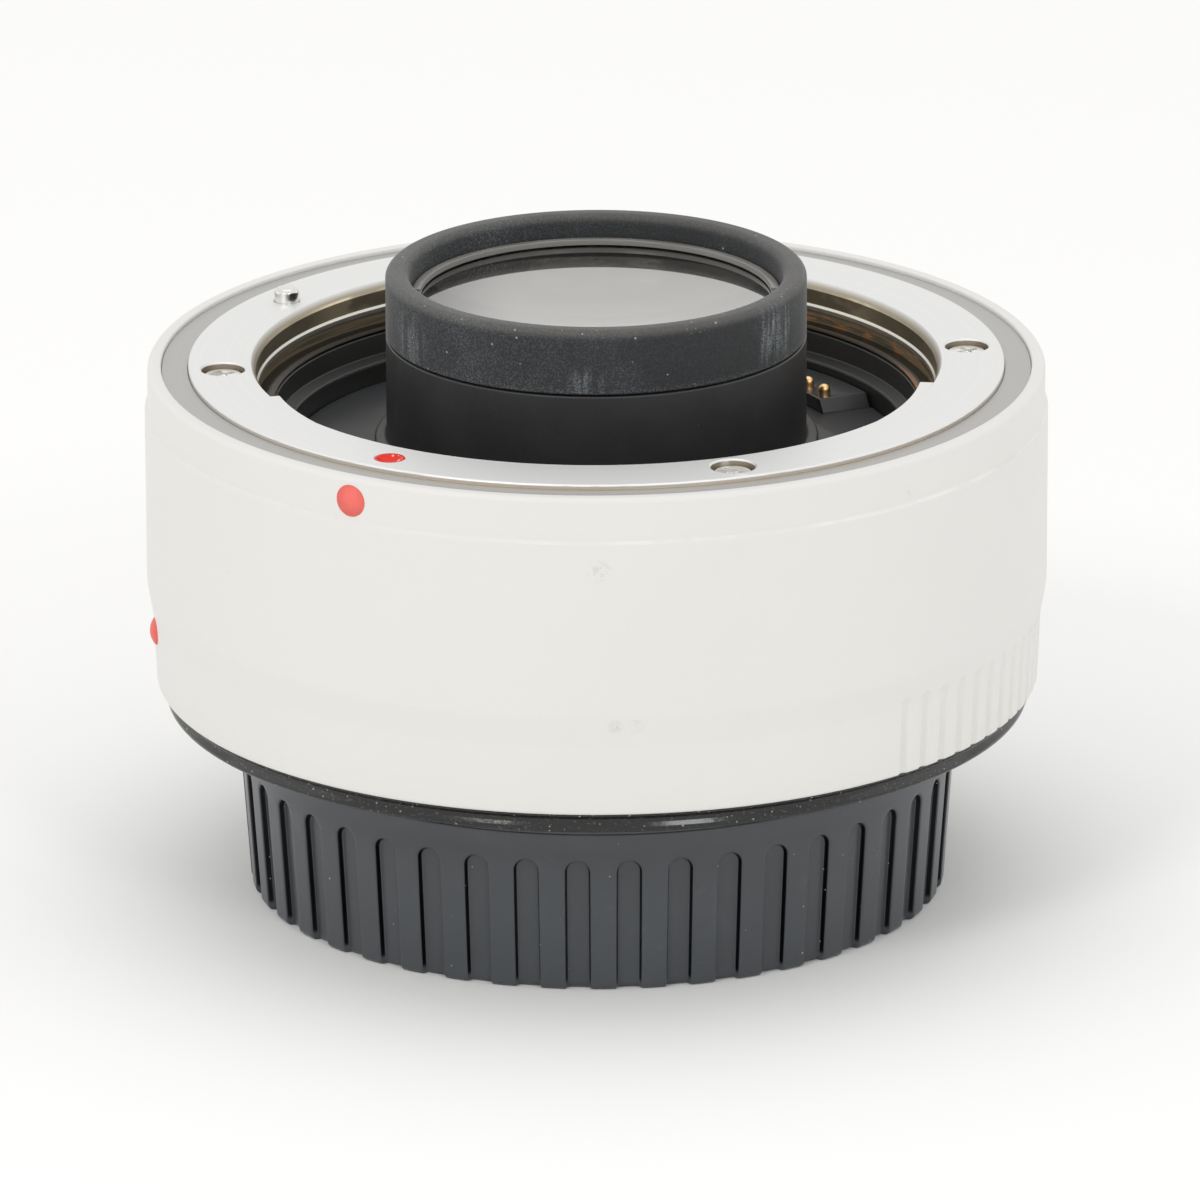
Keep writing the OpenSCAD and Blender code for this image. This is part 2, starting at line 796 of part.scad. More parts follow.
module front_liner() {
    color("black")
        difference() {
            rotate_extrude()
                polygon([
                    [ledge_r - floor_lip_w, web_z],
                    [liner_r, web_z],
                    [liner_r, step_z - step_t],
                    [liner_neck_r, step_z - step_t],
                    [liner_neck_r, liner_flange_z],
                    [liner_flange_r, liner_flange_z],
                    [liner_flange_r, seat_z],
                    [throat_wall_r, seat_z],
                    [throat_wall_r, step_z],
                    [step_r, step_z],
                    [step_r, floor_z + ledge_h + ledge_edge],
                    [ledge_r + ledge_edge, floor_z + ledge_h],
                    [ledge_r, floor_z + ledge_h - ledge_edge],
                    [ledge_r, floor_z - floor_t],
                    [ledge_r - floor_lip_w, floor_z - floor_t]
                ]);
            for (a = screw_angles)
                polar(screw_r, a, liner_flange_z - cut)
                    cylinder(r = shank_d / 2 + hole_gap, h = liner_flange_t + 2 * cut);
            polar(pin_r, lock_a, liner_flange_z - cut)
                cylinder(r = pin_d / 2 + 3 * hole_gap, h = liner_flange_t + 2 * cut);
        }
}

module well_floor() {
    color("darkslategray")
        difference() {
            tube(tube_r + slip, floor_r, floor_z - floor_t, floor_z);
            sector(block_in_r - slip, floor_r + cut, floor_z - floor_t - cut, floor_z + cut,
                contact_mid - block_half - ramp_deg - block_slot_deg,
                contact_mid + block_half + ramp_deg + block_slot_deg);
        }
}

// One end of the contact block: everything past the ridge and above the ramp
module ramp_cutter(side) {
    drop = atan(block_h / (contact_r * sin(ramp_deg)));
    rotate([0, 0, contact_mid + side * block_half])
        translate([0, 0, block_z])
            rotate([-side * drop, 0, 0])
                translate([0, side > 0 ? -ramp_room : -block_r, 0])
                    cube([barrel_r, block_r + ramp_room, ramp_room]);
}

module contact_block() {
    full = block_half + ramp_deg;
    color("black")
        difference() {
            rotate([0, 0, contact_mid - full])
                rotate_extrude(angle = 2 * full)
                    polygon([
                        [block_in_r, board_z],
                        [block_foot_r, board_z],
                        [block_foot_r, floor_z - floor_t],
                        [block_r, floor_z - floor_t],
                        [block_r, block_z],
                        [block_in_r, block_z]
                    ]);
            ramp_cutter(1);
            ramp_cutter(-1);
            for (a = contact_angles) {
                polar(contact_r, a, shelf_z - cut)
                    cylinder(r = contact_d / 2 + thread_gap, h = block_z - shelf_z + 2 * cut);
                polar(contact_r, a, board_z - cut)
                    cylinder(r = collar_bore_r, h = shelf_z - board_z + cut);
            }
        }
}

module contact_pins() {
    color("gold")
        for (a = contact_angles)
            polar(contact_r, a, 0) {
                translate([0, 0, contact_tip_z - contact_d / 2])
                    sphere(r = contact_d / 2);
                translate([0, 0, collar_z - collar_h])
                    cylinder(r = contact_d / 2, h = contact_tip_z - contact_d / 2 - collar_z + collar_h);
                translate([0, 0, collar_z - collar_h])
                    cylinder(r = collar_r, h = collar_h);
                translate([0, 0, collar_z - collar_h - tail_l])
                    cylinder(r = tail_r, h = tail_l + collar_h / 2);
            }
}

module contact_springs() {
    color("silver")
        for (a = contact_angles)
            polar(contact_r, a, 0)
                coil(contact_coil_r, board_z, collar_z - collar_h, contact_turns, contact_wire,
                    contact_steps, contact_sides);
}

module front_tube() {
    color("black")
        rotate_extrude()
            polygon([
                [cell_r + slip, web_z],
                [tube_r, web_z],
                [tube_r, floor_z],
                [tube_r + tube_foot_w, floor_z],
                [tube_r + tube_foot_w, floor_z + tube_foot_h - seam_edge],
                [tube_r + tube_foot_w - seam_edge, floor_z + tube_foot_h],
                [tube_r + seam_edge, floor_z + tube_foot_h],
                [tube_r, floor_z + tube_foot_h + seam_edge],
                [tube_r, shoulder_z - seam_edge],
                [tube_r - seam_edge, shoulder_z],
                [neck_r, shoulder_z],
                [neck_r, neck_top_z],
                [bore_r, neck_top_z],
                [bore_r, cell_top],
                [cell_r + slip, cell_top]
            ]);
}

module rubber_collar() {
    color("dimgray")
        rotate_extrude()
            union() {
                polygon([
                    [neck_r + slip, collar_z0],
                    [tube_r - seam_edge, collar_z0],
                    [tube_r, collar_z0 + seam_edge],
                    [tube_r, collar_top_z - collar_round],
                    [tube_r - collar_round, collar_top_z],
                    [lip_in_r + collar_soft, collar_top_z],
                    [lip_in_r, collar_top_z - collar_soft],
                    [lip_in_r, neck_top_z],
                    [neck_r + slip, neck_top_z]
                ]);
                translate([tube_r - collar_round, collar_top_z - collar_round])
                    circle(r = collar_round);
                translate([lip_in_r + collar_soft, collar_top_z - collar_soft])
                    circle(r = collar_soft);
            }
}

module front_retaining_ring() {
    color("darkgray")
        key_ring(glass_r - front_ring_w, glass_r + slip / 2, front_ring_z, front_ring_top,
            front_ring_top - front_ring_notch);
}

module element_1() {
    color("lightcyan", 0.4)
        meniscus(glass_r, v1, curve_1, v2, curve_2);
}

module element_2() {
    color("lightcyan", 0.4)
        biconcave(glass_r, v2 - cement, curve_2 + cement, v3, curve_3);
}

module element_3() {
    color("lightcyan", 0.4)
        biconcave(group_2_r, v4, curve_4, v5, curve_5);
}

module element_4() {
    color("lightcyan", 0.4)
        biconvex(group_2_r, v5 - cement, curve_5 - cement, v6, curve_6);
}

module element_5() {
    color("lightcyan", 0.4)
        biconcave(group_2_r, v6 - cement, curve_6 + cement, v7, curve_7);
}

module element_6() {
    color("lightcyan", 0.4)
        biconvex(group_3_r, v8, curve_8, v9, curve_9);
}

module element_7() {
    color("lightcyan", 0.4)
        biconcave(group_3_r, v9 - cement, curve_9 + cement, v10, curve_10);
}

module lens_cell() {
    color("black")
        difference() {
            rotate_extrude()
                polygon([
                    [group_3_r + slip, cell_foot],
                    [cell_r, cell_foot],
                    [cell_r, web_z - web_t - cell_flange_t],
                    [cell_r + cell_flange_w, web_z - web_t - cell_flange_t],
                    [cell_r + cell_flange_w, web_z - web_t],
                    [cell_r, web_z - web_t],
                    [cell_r, cell_top],
                    [group_2_r + slip, cell_top],
                    [group_2_r + slip, group_2_foot - cement],
                    [stop_r, group_2_foot - cement],
                    [stop_r, group_3_seat],
                    [group_3_r + slip, group_3_seat]
                ]);
            for (a = cell_screw_angles)
                polar(cell_screw_r, a, web_z - web_t - cell_flange_t - cut)
                    cylinder(r = cell_screw_d / 2 + hole_gap, h = cell_flange_t + 2 * cut);
        }
}

module middle_retaining_ring() {
    color("dimgray")
        key_ring(group_2_r - ring_w, group_2_r + slip / 2, group_2_top + cement,
            group_2_top + cement + middle_ring_h, group_2_top + cement + middle_ring_h - ring_notch_h);
}

module rear_retaining_ring() {
    color("dimgray")
        key_ring(group_3_r - ring_w, group_3_r + slip / 2, group_3_foot - cement - rear_ring_h,
            group_3_foot - cement, group_3_foot - cement - rear_ring_h);
}

module cell_screws() {
    length = cell_flange_t + web_t - cell_screw_tip;
    color("lightgray")
        for (a = cell_screw_angles)
            polar(cell_screw_r, a, web_z - web_t - cell_flange_t - cell_head_h)
                mirror([0, 0, 1])
                    screw(cell_head_d / 2, cell_head_h, cell_screw_d / 2, length, slot_w,
                        cell_head_d * slot_share);
}

module circuit_board() {
    color("darkgreen")
        tube(tube_r + 2 * slip, board_r, web_z, board_z);
}

module controller_chip() {
    color("black")
        polar(chip_r, chip_a, board_z)
            translate([-chip_w / 2, -chip_w / 2, 0])
                cube([chip_w, chip_w, chip_t]);
}

// A screw boss joined to the frame's wall by a rib
module frame_boss(r, a, z0, z1) {
    polar(r, a, z0) {
        cylinder(r = boss_r, h = z1 - z0);
        translate([0, -boss_r, 0])
            cube([frame_in_r + frame_wall / 2 - r, 2 * boss_r, z1 - z0]);
    }
}

module main_frame() {
    color("darkslategray")
        difference() {
            union() {
                tube(frame_in_r, frame_r, rear_top_z, seat_z);
                tube(cell_r + slip, frame_in_r + frame_wall / 2, web_z - web_t, web_z);
                for (a = screw_angles)
                    frame_boss(screw_r, a, web_z, liner_flange_z);
                for (a = rear_screw_angles)
                    frame_boss(rear_screw_r, a, rear_top_z, rear_top_z + rear_boss_h);
                polar(pin_r, lock_a, web_z - web_t / 2)
                    cylinder(r = post_r, h = post_h + web_t / 2);
            }
            for (a = screw_angles)
                polar(screw_r, a, seat_z + mount_t - bore_h - shank_l - slip)
                    cylinder(r = shank_d / 2 + thread_gap, h = shank_l + cut);
            for (a = rear_screw_angles)
                polar(rear_screw_r, a, rear_top_z - cut)
                    cylinder(r = shank_d / 2 + thread_gap, h = rear_boss_h + cut);
            for (a = cell_screw_angles)
                polar(cell_screw_r, a, web_z - web_t - cut)
                    cylinder(r = cell_screw_d / 2 + thread_gap, h = web_t + cut);
            lock_box(frame_in_r - cut, frame_r + cut, arm_w + 2 * arm_gap,
                arm_z0 - lock_travel - arm_gap, arm_z1 + arm_gap);
        }
}

module lock_pin() {
    color("silver")
        rotate([0, 0, lock_a])
            translate([pin_r, 0, 0])
                rotate_extrude()
                    polygon([
                        [0, carrier_z0 + pocket_h + thread_gap],
                        [pin_d / 2, carrier_z0 + pocket_h + thread_gap],
                        [pin_d / 2, pin_tip_z - pin_edge],
                        [pin_d / 2 - pin_edge, pin_tip_z],
                        [0, pin_tip_z]
                    ]);
}

module lock_carrier() {
    color("gray")
        difference() {
            union() {
                lock_box(carrier_in_r, carrier_out_r, carrier_w, carrier_z0, carrier_z1);
                lock_box(carrier_out_r - cut, lever_in, arm_w, arm_z0, arm_z1);
            }
            polar(pin_r, lock_a, carrier_z0)
                cylinder(r = pin_d / 2 + thread_gap, h = carrier_h + cut);
            polar(pin_r, lock_a, carrier_z0 - cut)
                cylinder(r = coil_pocket_r, h = pocket_h + cut);
            radial_peg(lock_a, lever_mid_z, lever_screw_d / 2 + thread_gap,
                lever_in - lever_screw_l - slip, lever_in + cut);
        }
}

module release_lever() {
    color("whitesmoke")
        difference() {
            union() {
                lock_box(lever_in, lever_out, lever_w, lever_z0, lever_z0 + lever_h);
                for (step = [-1, 1])
                    polar(lever_out, lock_a, lever_mid_z + step * ridge_gap)
                        rotate([90, 0, 0])
                            translate([0, 0, -lever_w / 2])
                                cylinder(r = ridge_r, h = lever_w, $fn = 32);
            }
            radial_peg(lock_a, lever_mid_z, lever_screw_d / 2 + hole_gap, lever_in - cut, lever_out + cut);
            radial_peg(lock_a, lever_mid_z, lever_head_d / 2 + slip,
                lever_out - lever_head_h, lever_out + cut);
        }
}

module lever_screw() {
    color("lightgray")
        polar(lever_out, lock_a, lever_mid_z)
            rotate([0, 90, 0])
                screw(lever_head_d / 2, lever_head_h, lever_screw_d / 2,
                    lever_out - lever_head_h - lever_in + lever_screw_l, slot_w / 2,
                    lever_head_d * slot_share);
}

module lock_spring() {
    color("silver")
        polar(pin_r, lock_a, 0)
            coil(coil_r, web_z, carrier_z0 + pocket_h, coil_turns, coil_wire / 2, coil_steps, coil_sides);
}

module rear_gasket() {
    color("black")
        rotate_extrude()
            polygon([
                [seal_in_r, foot_z - seal_web],
                [seal_in_r, foot_z],
                [seal_out_r, foot_z],
                [seal_out_r, foot_z - seal_web / 3],
                [seal_tip_r + seal_tip_w / 2, seal_z + seal_tip_w / 2],
                [seal_tip_r + seal_tip_w / 4, seal_z],
                [seal_tip_r - seal_tip_w / 4, seal_z],
                [seal_tip_r - seal_tip_w / 2, seal_z + seal_tip_w / 2],
                [seal_out_r - 2 * seal_web, foot_z - seal_web]
            ]);
}

module rear_mount() {
    color("gainsboro")
        difference() {
            union() {
                rotate_extrude()
                    polygon([
                        [male_in_r, male_z],
                        [male_r - male_edge, male_z],
                        [male_r, male_z + male_edge],
                        [male_r, cam_z],
                        [rear_r - mount_edge, cam_z],
                        [rear_r, cam_z + mount_edge],
                        [rear_r, rear_top_z],
                        [male_in_r, rear_top_z]
                    ]);
                for (a = male_tab_angles)
                    sector(male_r - male_edge, male_tab_r, male_tab_z0, male_tab_z1,
                        a - male_tab_arc / 2, a + male_tab_arc / 2);
            }
            for (a = rear_screw_angles) {
                polar(rear_screw_r, a, cam_z - cut)
                    cylinder(r = bore_d / 2, h = bore_h + cut);
                polar(rear_screw_r, a, cam_z)
                    cylinder(r = shank_d / 2 + hole_gap, h = rear_t + cut);
            }
        }
}

module rear_mount_screws() {
    color("lightgray")
        for (a = rear_screw_angles)
            polar(rear_screw_r, a, cam_z + head_sink)
                mirror([0, 0, 1])
                    screw(head_d / 2, head_h, shank_d / 2, rear_boss_h - head_h, slot_w, slot_l);
}

module rear_baffle() {
    color("black")
        rotate_extrude()
            polygon([
                [baffle_in_r, baffle_foot_z],
                [baffle_in_r + baffle_tube_wall, baffle_foot_z],
                [baffle_in_r + baffle_tube_wall, rear_top_z],
                [baffle_r, rear_top_z],
                [baffle_r, rear_top_z + baffle_t],
                [baffle_in_r, rear_top_z + baffle_t]
            ]);
}

module rear_contact_block() {
    full = contact_half + rear_block_deg;
    color("black")
        difference() {
            sector(rear_block_in_r, rear_block_r, rear_block_z, rear_top_z,
                contact_mid - full, contact_mid + full);
            for (a = contact_angles)
                polar(rear_pad_r, a, rear_block_z - cut)
                    cylinder(r = rear_pad_d / 2, h = rear_pad_t + cut);
        }
}

module rear_contacts() {
    color("gold")
        for (a = contact_angles)
            polar(rear_pad_r, a, rear_block_z - rear_pad_proud)
                cylinder(r = rear_pad_d / 2 - thread_gap, h = rear_pad_t + rear_pad_proud);
}

module camera_index_dome() {
    ball_r = (pow(dome_d / 2, 2) + pow(dome_rise, 2)) / (2 * dome_rise);
    color("red")
        polar(lower_r - dome_sink, dome_a, dome_z)
            rotate([0, 90, 0])
                intersection() {
                    cylinder(r = dome_d / 2 - thread_gap, h = dome_sink + dome_rise);
                    translate([0, 0, dome_sink + dome_rise - ball_r])
                        sphere(r = ball_r);
                }
}

// One cap groove: a slot with a round top, leaning with the cap's draft
module cap_groove(a) {
    run_l = cap_groove_top - cap_groove_w / 2;
    polar(cap_r - cap_groove_depth, a, cap_edge)
        rotate([0, cap_draft, 0])
            rotate([90, 0, 90])
                linear_extrude(height = cap_wall_room)
                    union() {
                        translate([0, run_l - cap_edge])
                            circle(r = cap_groove_w / 2, $fn = 32);
                        translate([-cap_groove_w / 2, -cap_edge - cut])
                            square([cap_groove_w, run_l + cut]);
                    }
}

module rear_cap() {
    color("darkslategray")
        difference() {
            union() {
                rotate_extrude()
                    union() {
                        polygon([
                            [0, cap_recess_h],
                            [cap_recess_r, cap_recess_h],
                            [cap_recess_r, 0],
                            [cap_r - cap_edge, 0],
                            [cap_r, cap_edge],
                            [cap_side(cap_line_z0), cap_line_z0],
                            [cap_side(cap_line_z) - cap_line_depth, cap_line_z],
                            [cap_side(cap_line_z1), cap_line_z1],
                            [cap_side(cap_h), cap_h],
                            [cap_in_r, cap_h],
                            [cap_in_r, cap_floor_t],
                            [0, cap_floor_t]
                        ]);
                        translate([cap_r - cap_edge, cap_edge])
                            circle(r = cap_edge);
                    }
                for (a = male_tab_angles)
                    sector(cap_lug_in_r, cap_in_r + cap_edge, cap_lug_z0, cap_lug_z0 + cap_lug_t,
                        a - cap_lug_arc / 2, a + cap_lug_arc / 2);
            }
            for (i = [0 : cap_grooves - 1])
                cap_groove(cap_phase + (i + 0.5) * 360 / cap_grooves);
        }
}

outer_barrel();
face_ring();
front_mount_ring();
front_mount_screws();
mount_index_dimple();
lens_index_dot();
bayonet_spring();
front_liner();
well_floor();
contact_block();
contact_pins();
contact_springs();
front_tube();
rubber_collar();
front_retaining_ring();
element_1();
element_2();
element_3();
element_4();
element_5();
element_6();
element_7();
lens_cell();
middle_retaining_ring();
rear_retaining_ring();
cell_screws();
circuit_board();
controller_chip();
main_frame();
lock_pin();
lock_carrier();
release_lever();
lever_screw();
lock_spring();
rear_gasket();
rear_mount();
rear_mount_screws();
rear_baffle();
rear_contact_block();
rear_contacts();
camera_index_dome();
rear_cap();
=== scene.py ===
"""Looks of a lens-mount teleconverter standing on its rear cap.

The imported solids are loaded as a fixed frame. Turned pieces, the cap, the mount ring and the
screws are built again here with fine edges, and every piece gets a procedural material.
Sizes are millimetres until a mesh is made, and metres from there on.
"""

from __future__ import annotations

import logging
import math
from dataclasses import dataclass, field
from enum import Enum
from typing import Callable, Iterable, Mapping, Sequence, Union

import bmesh
import bpy
from mathutils import Matrix, Vector

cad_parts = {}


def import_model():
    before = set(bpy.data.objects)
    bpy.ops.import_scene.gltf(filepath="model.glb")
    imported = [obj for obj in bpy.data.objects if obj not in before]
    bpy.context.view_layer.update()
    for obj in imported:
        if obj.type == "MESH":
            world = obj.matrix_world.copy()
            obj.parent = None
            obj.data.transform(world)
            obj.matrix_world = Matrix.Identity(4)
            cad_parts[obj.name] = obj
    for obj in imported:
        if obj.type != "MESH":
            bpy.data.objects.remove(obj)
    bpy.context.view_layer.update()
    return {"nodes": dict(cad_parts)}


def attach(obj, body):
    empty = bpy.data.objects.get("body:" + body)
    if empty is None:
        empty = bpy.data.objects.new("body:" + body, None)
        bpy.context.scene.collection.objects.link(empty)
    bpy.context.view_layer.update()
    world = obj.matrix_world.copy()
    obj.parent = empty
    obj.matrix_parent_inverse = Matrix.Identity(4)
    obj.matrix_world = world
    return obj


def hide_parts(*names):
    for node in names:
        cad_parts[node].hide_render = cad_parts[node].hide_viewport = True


LOG = logging.getLogger("teleconverter")
MM = 0.001
FULL_TURN = 360.0
ON_AXIS = 1e-6
WELD = 1e-6
BORE_SIDES = 48

Number = Union[int, float]
Point2 = tuple[float, float]
Colour = tuple[float, float, float]


class Body(Enum):
    """The bodies that the dressed pieces ride on."""

    BARREL = "barrel"
    CAP = "rear_cap"


# Node graphs


class Field:
    """A node socket that takes part in Python arithmetic."""

    def __init__(self, graph: "Graph", socket: bpy.types.NodeSocket) -> None:
        """Keeps the socket and the graph that it belongs to."""
        self.graph = graph
        self.socket = socket

    def _math(self, operation: str, first: "Operand", second: "Operand" = 0.0) -> "Field":
        """Adds one Math node.

        Args:
            operation: Name of the Math node's operation.
            first: Left operand.
            second: Right operand.

        Returns:
            The node's result.
        """
        return self.graph.node("ShaderNodeMath", {"operation": operation}, {0: first, 1: second})

    def __add__(self, other: "Operand") -> "Field":
        """Sum."""
        return self._math("ADD", self, other)

    def __radd__(self, other: "Operand") -> "Field":
        """Sum with a number on the left."""
        return self._math("ADD", other, self)

    def __sub__(self, other: "Operand") -> "Field":
        """Difference."""
        return self._math("SUBTRACT", self, other)

    def __rsub__(self, other: "Operand") -> "Field":
        """Difference from a number on the left."""
        return self._math("SUBTRACT", other, self)

    def __mul__(self, other: "Operand") -> "Field":
        """Product."""
        return self._math("MULTIPLY", self, other)

    def __rmul__(self, other: "Operand") -> "Field":
        """Product with a number on the left."""
        return self._math("MULTIPLY", other, self)

    def __truediv__(self, other: "Operand") -> "Field":
        """Quotient."""
        return self._math("DIVIDE", self, other)

    def __rtruediv__(self, other: "Operand") -> "Field":
        """Quotient with a number on the left."""
        return self._math("DIVIDE", other, self)

    def __lt__(self, other: "Operand") -> "Field":
        """One where this is less, else zero."""
        return self._math("LESS_THAN", self, other)

    def __gt__(self, other: "Operand") -> "Field":
        """One where this is greater, else zero."""
        return self._math("GREATER_THAN", self, other)

    def root(self) -> "Field":
        """Square root."""
        return self._math("SQRT", self)

    def at_least(self, other: "Operand") -> "Field":
        """The greater of the two."""
        return self._math("MAXIMUM", self, other)

    def at_most(self, other: "Operand") -> "Field":
        """The lesser of the two."""
        return self._math("MINIMUM", self, other)

    def size(self) -> "Field":
        """Absolute value."""
        return self._math("ABSOLUTE", self)

    def angle(self, along: "Operand") -> "Field":
        """Angle round the axis in radians, where this is y and the other is x."""
        return self._math("ARCTAN2", self, along)

    def wrapped(self, low: "Operand", high: "Operand") -> "Field":
        """The value carried round into a range."""
        return self.graph.node("ShaderNodeMath", {"operation": "WRAP"}, {0: self, 1: high, 2: low})

    def ramp(self, start: "Operand", end: "Operand") -> "Field":
        """Smooth step from zero at start to one at end, in either order."""
        return self.graph.node(
            "ShaderNodeMapRange",
            {"interpolation_type": "SMOOTHSTEP", "clamp": True},
            {0: self, 1: start, 2: end, 3: 0.0, 4: 1.0},
        )


Operand = Union[Field, Number]
Input = Union[Field, Number, Sequence[float], bpy.types.Material, bpy.types.Object]


class Graph:
    """A node tree that is written as Python expressions."""

    def __init__(self, tree: bpy.types.NodeTree) -> None:
        """Keeps the tree and empties it."""
        self.tree = tree
        tree.nodes.clear()

    def node(
        self,
        kind: str,
        settings: Mapping[str, object] | None = None,
        inputs: Mapping[Union[int, str], Input] | None = None,
        output: Union[int, str] = 0,
    ) -> Field:
        """Adds any node.

        Args:
            kind: The node's type name.
            settings: Properties, set before the sockets.
            inputs: Values or links by socket name or number.
            output: The output socket to hand back.

        Returns:
            The chosen output.
        """
        made = self.tree.nodes.new(kind)
        for name, value in (settings or {}).items():
            setattr(made, name, value)
        for name, value in (inputs or {}).items():
            socket = made.inputs[name]
            if isinstance(value, Field):
                self.tree.links.new(value.socket, socket)
            else:
                socket.default_value = value
        return Field(self, made.outputs[output])

    def vector(self, x: Operand, y: Operand, z: Operand) -> Field:
        """A vector of three values."""
        return self.node("ShaderNodeCombineXYZ", None, {0: x, 1: y, 2: z})

    def split(self, vector: Field) -> tuple[Field, Field, Field]:
        """The three coordinates of a vector."""
        kind = "ShaderNodeSeparateXYZ"
        return tuple(self.node(kind, None, {0: vector}, output=axis) for axis in range(3))

    def mix(self, factor: Operand, low: Input, high: Input) -> Field:
        """Blends two colours.

        Args:
            factor: Zero gives low, one gives high.
            low: Colour or link.
            high: Colour or link.

        Returns:
            The blended colour.
        """
        settings = {"data_type": "RGBA", "clamp_factor": True}
        sides = {6: _rgba(low), 7: _rgba(high)}
        return self.node("ShaderNodeMix", settings, {0: factor, **sides}, output=2)


def _rgba(value: Input) -> Input:
    """A colour of three numbers with its alpha, or the link as it is."""
    if isinstance(value, Field) or len(value) == 4:
        return value
    return (*value, 1.0)


class Surface(Graph):
    """The node tree of one material, in millimetres of the object's own frame."""

    def __init__(self, name: str) -> None:
        """Starts a material with one Principled shader."""
        self.material = bpy.data.materials.new(name)
        self.material.use_nodes = True
        super().__init__(self.material.node_tree)
        self.shader = self.tree.nodes.new("ShaderNodeBsdfPrincipled")
        output = self.tree.nodes.new("ShaderNodeOutputMaterial")
        self.tree.links.new(self.shader.outputs[0], output.inputs[0])
        place = self.node("ShaderNodeTexCoord", output="Object")
        self.place = self.node(
            "ShaderNodeVectorMath", {"operation": "SCALE"}, {0: place, "Scale": 1.0 / MM}
        )
        self.x, self.y, self.z = self.split(self.place)
        self.radius = (self.x * self.x + self.y * self.y).root()
        self.turn = self.y.angle(self.x)

    def noise(self, scale: float, detail: float = 3.0, along: Field | None = None) -> Field:
        """Cloudy noise.

        Args:
            scale: Features for each millimetre.
            detail: Octaves.
            along: Coordinates, or the object's own.

        Returns:
            A value round one half.
        """
        return self.node(
            "ShaderNodeTexNoise",
            {"noise_dimensions": "3D"},
            {"Vector": along or self.place, "Scale": scale, "Detail": detail, "Roughness": 0.55},
        )

    def specks(self, scale: float, size: float, share: float) -> Field:
        """Scattered round specks of uneven size.

        Args:
            scale: Cells for each millimetre.
            size: Radius of the largest speck, in cells.
            share: Share of the cells that hold one.

        Returns:
            One on a speck, else zero.
        """
        settings = {"voronoi_dimensions": "3D", "feature": "F1"}
        sockets = {"Vector": self.place, "Scale": scale}
        reach = self.node("ShaderNodeTexVoronoi", settings, sockets, output="Distance")
        tint = self.node("ShaderNodeTexVoronoi", settings, sockets, output="Color")
        red = self.node("ShaderNodeSeparateColor", None, {0: tint}, output=0)
        green = self.node("ShaderNodeSeparateColor", None, {0: tint}, output=1)
        limit = size * green
        return (red < share) * reach.ramp(limit, limit * 0.5)

    def polar(self, turns: float, outwards: float, upwards: float) -> Field:
        """Coordinates that follow a turned surface.

        Args:
            turns: Scale of the angle, per radian.
            outwards: Scale of the radius, per millimetre.
            upwards: Scale of the height, per millimetre.

        Returns:
            The scaled coordinates.
        """
        return self.vector(self.turn * turns, self.radius * outwards, self.z * upwards)

    def near(self, spot: Scuff, core: float) -> Field:
        """One at a rubbed spot, fading to zero at its reach.

        Args:
            spot: The spot.
            core: Share of the reach that is full.

        Returns:
            How near a point is.
        """
        away = self.node(
            "ShaderNodeVectorMath",
            {"operation": "DISTANCE"},
            {0: self.place, 1: spot.place},
            output="Value",
        )
        return away.ramp(spot.reach, spot.reach * core)

    def set(self, **values: Input) -> None:
        """Sets or links the shader's sockets, by name with underscores for spaces."""
        for name, value in values.items():
            socket = self.shader.inputs[name.replace("_", " ")]
            if isinstance(value, Field):
                self.tree.links.new(value.socket, socket)
            else:
                socket.default_value = _rgba(value) if socket.type == "RGBA" else value

    def bump(self, height: Field, depth: float, strength: float = 1.0) -> None:
        """Feeds a height map to the shader's normal.

        Args:
            height: Height from zero to one.
            depth: Millimetres that one stands for.
            strength: Share of the effect.
        """
        sockets = {"Height": height, "Distance": depth * MM, "Strength": strength}
        self.set(Normal=self.node("ShaderNodeBump", None, sockets))


# Finishes


def scaled(colour: Colour, by: float, lift: float = 0.0) -> Colour:
    """A colour made lighter or darker."""
    return tuple(c * by + lift for c in colour)


@dataclass(frozen=True)
class Finish:
    """A finish that makes one material and keeps it."""

    name: str
    colour: Colour

    def material(self) -> bpy.types.Material:
        """The material, made on first use."""
        label = "finish_" + self.name
        found = bpy.data.materials.get(label)
        if found:
            return found
        surface = Surface(label)
        self.paint(surface)
        surface.material.diffuse_color = (*self.colour, 1.0)
        return surface.material

    def paint(self, surface: Surface) -> None:
        """Writes the finish into a material's nodes."""
        raise NotImplementedError


@dataclass(frozen=True)
class Scuff:
    """A rubbed spot: its place and reach in millimetres, and how strong it is."""

    place: tuple[float, float, float]
    reach: float
    strength: float


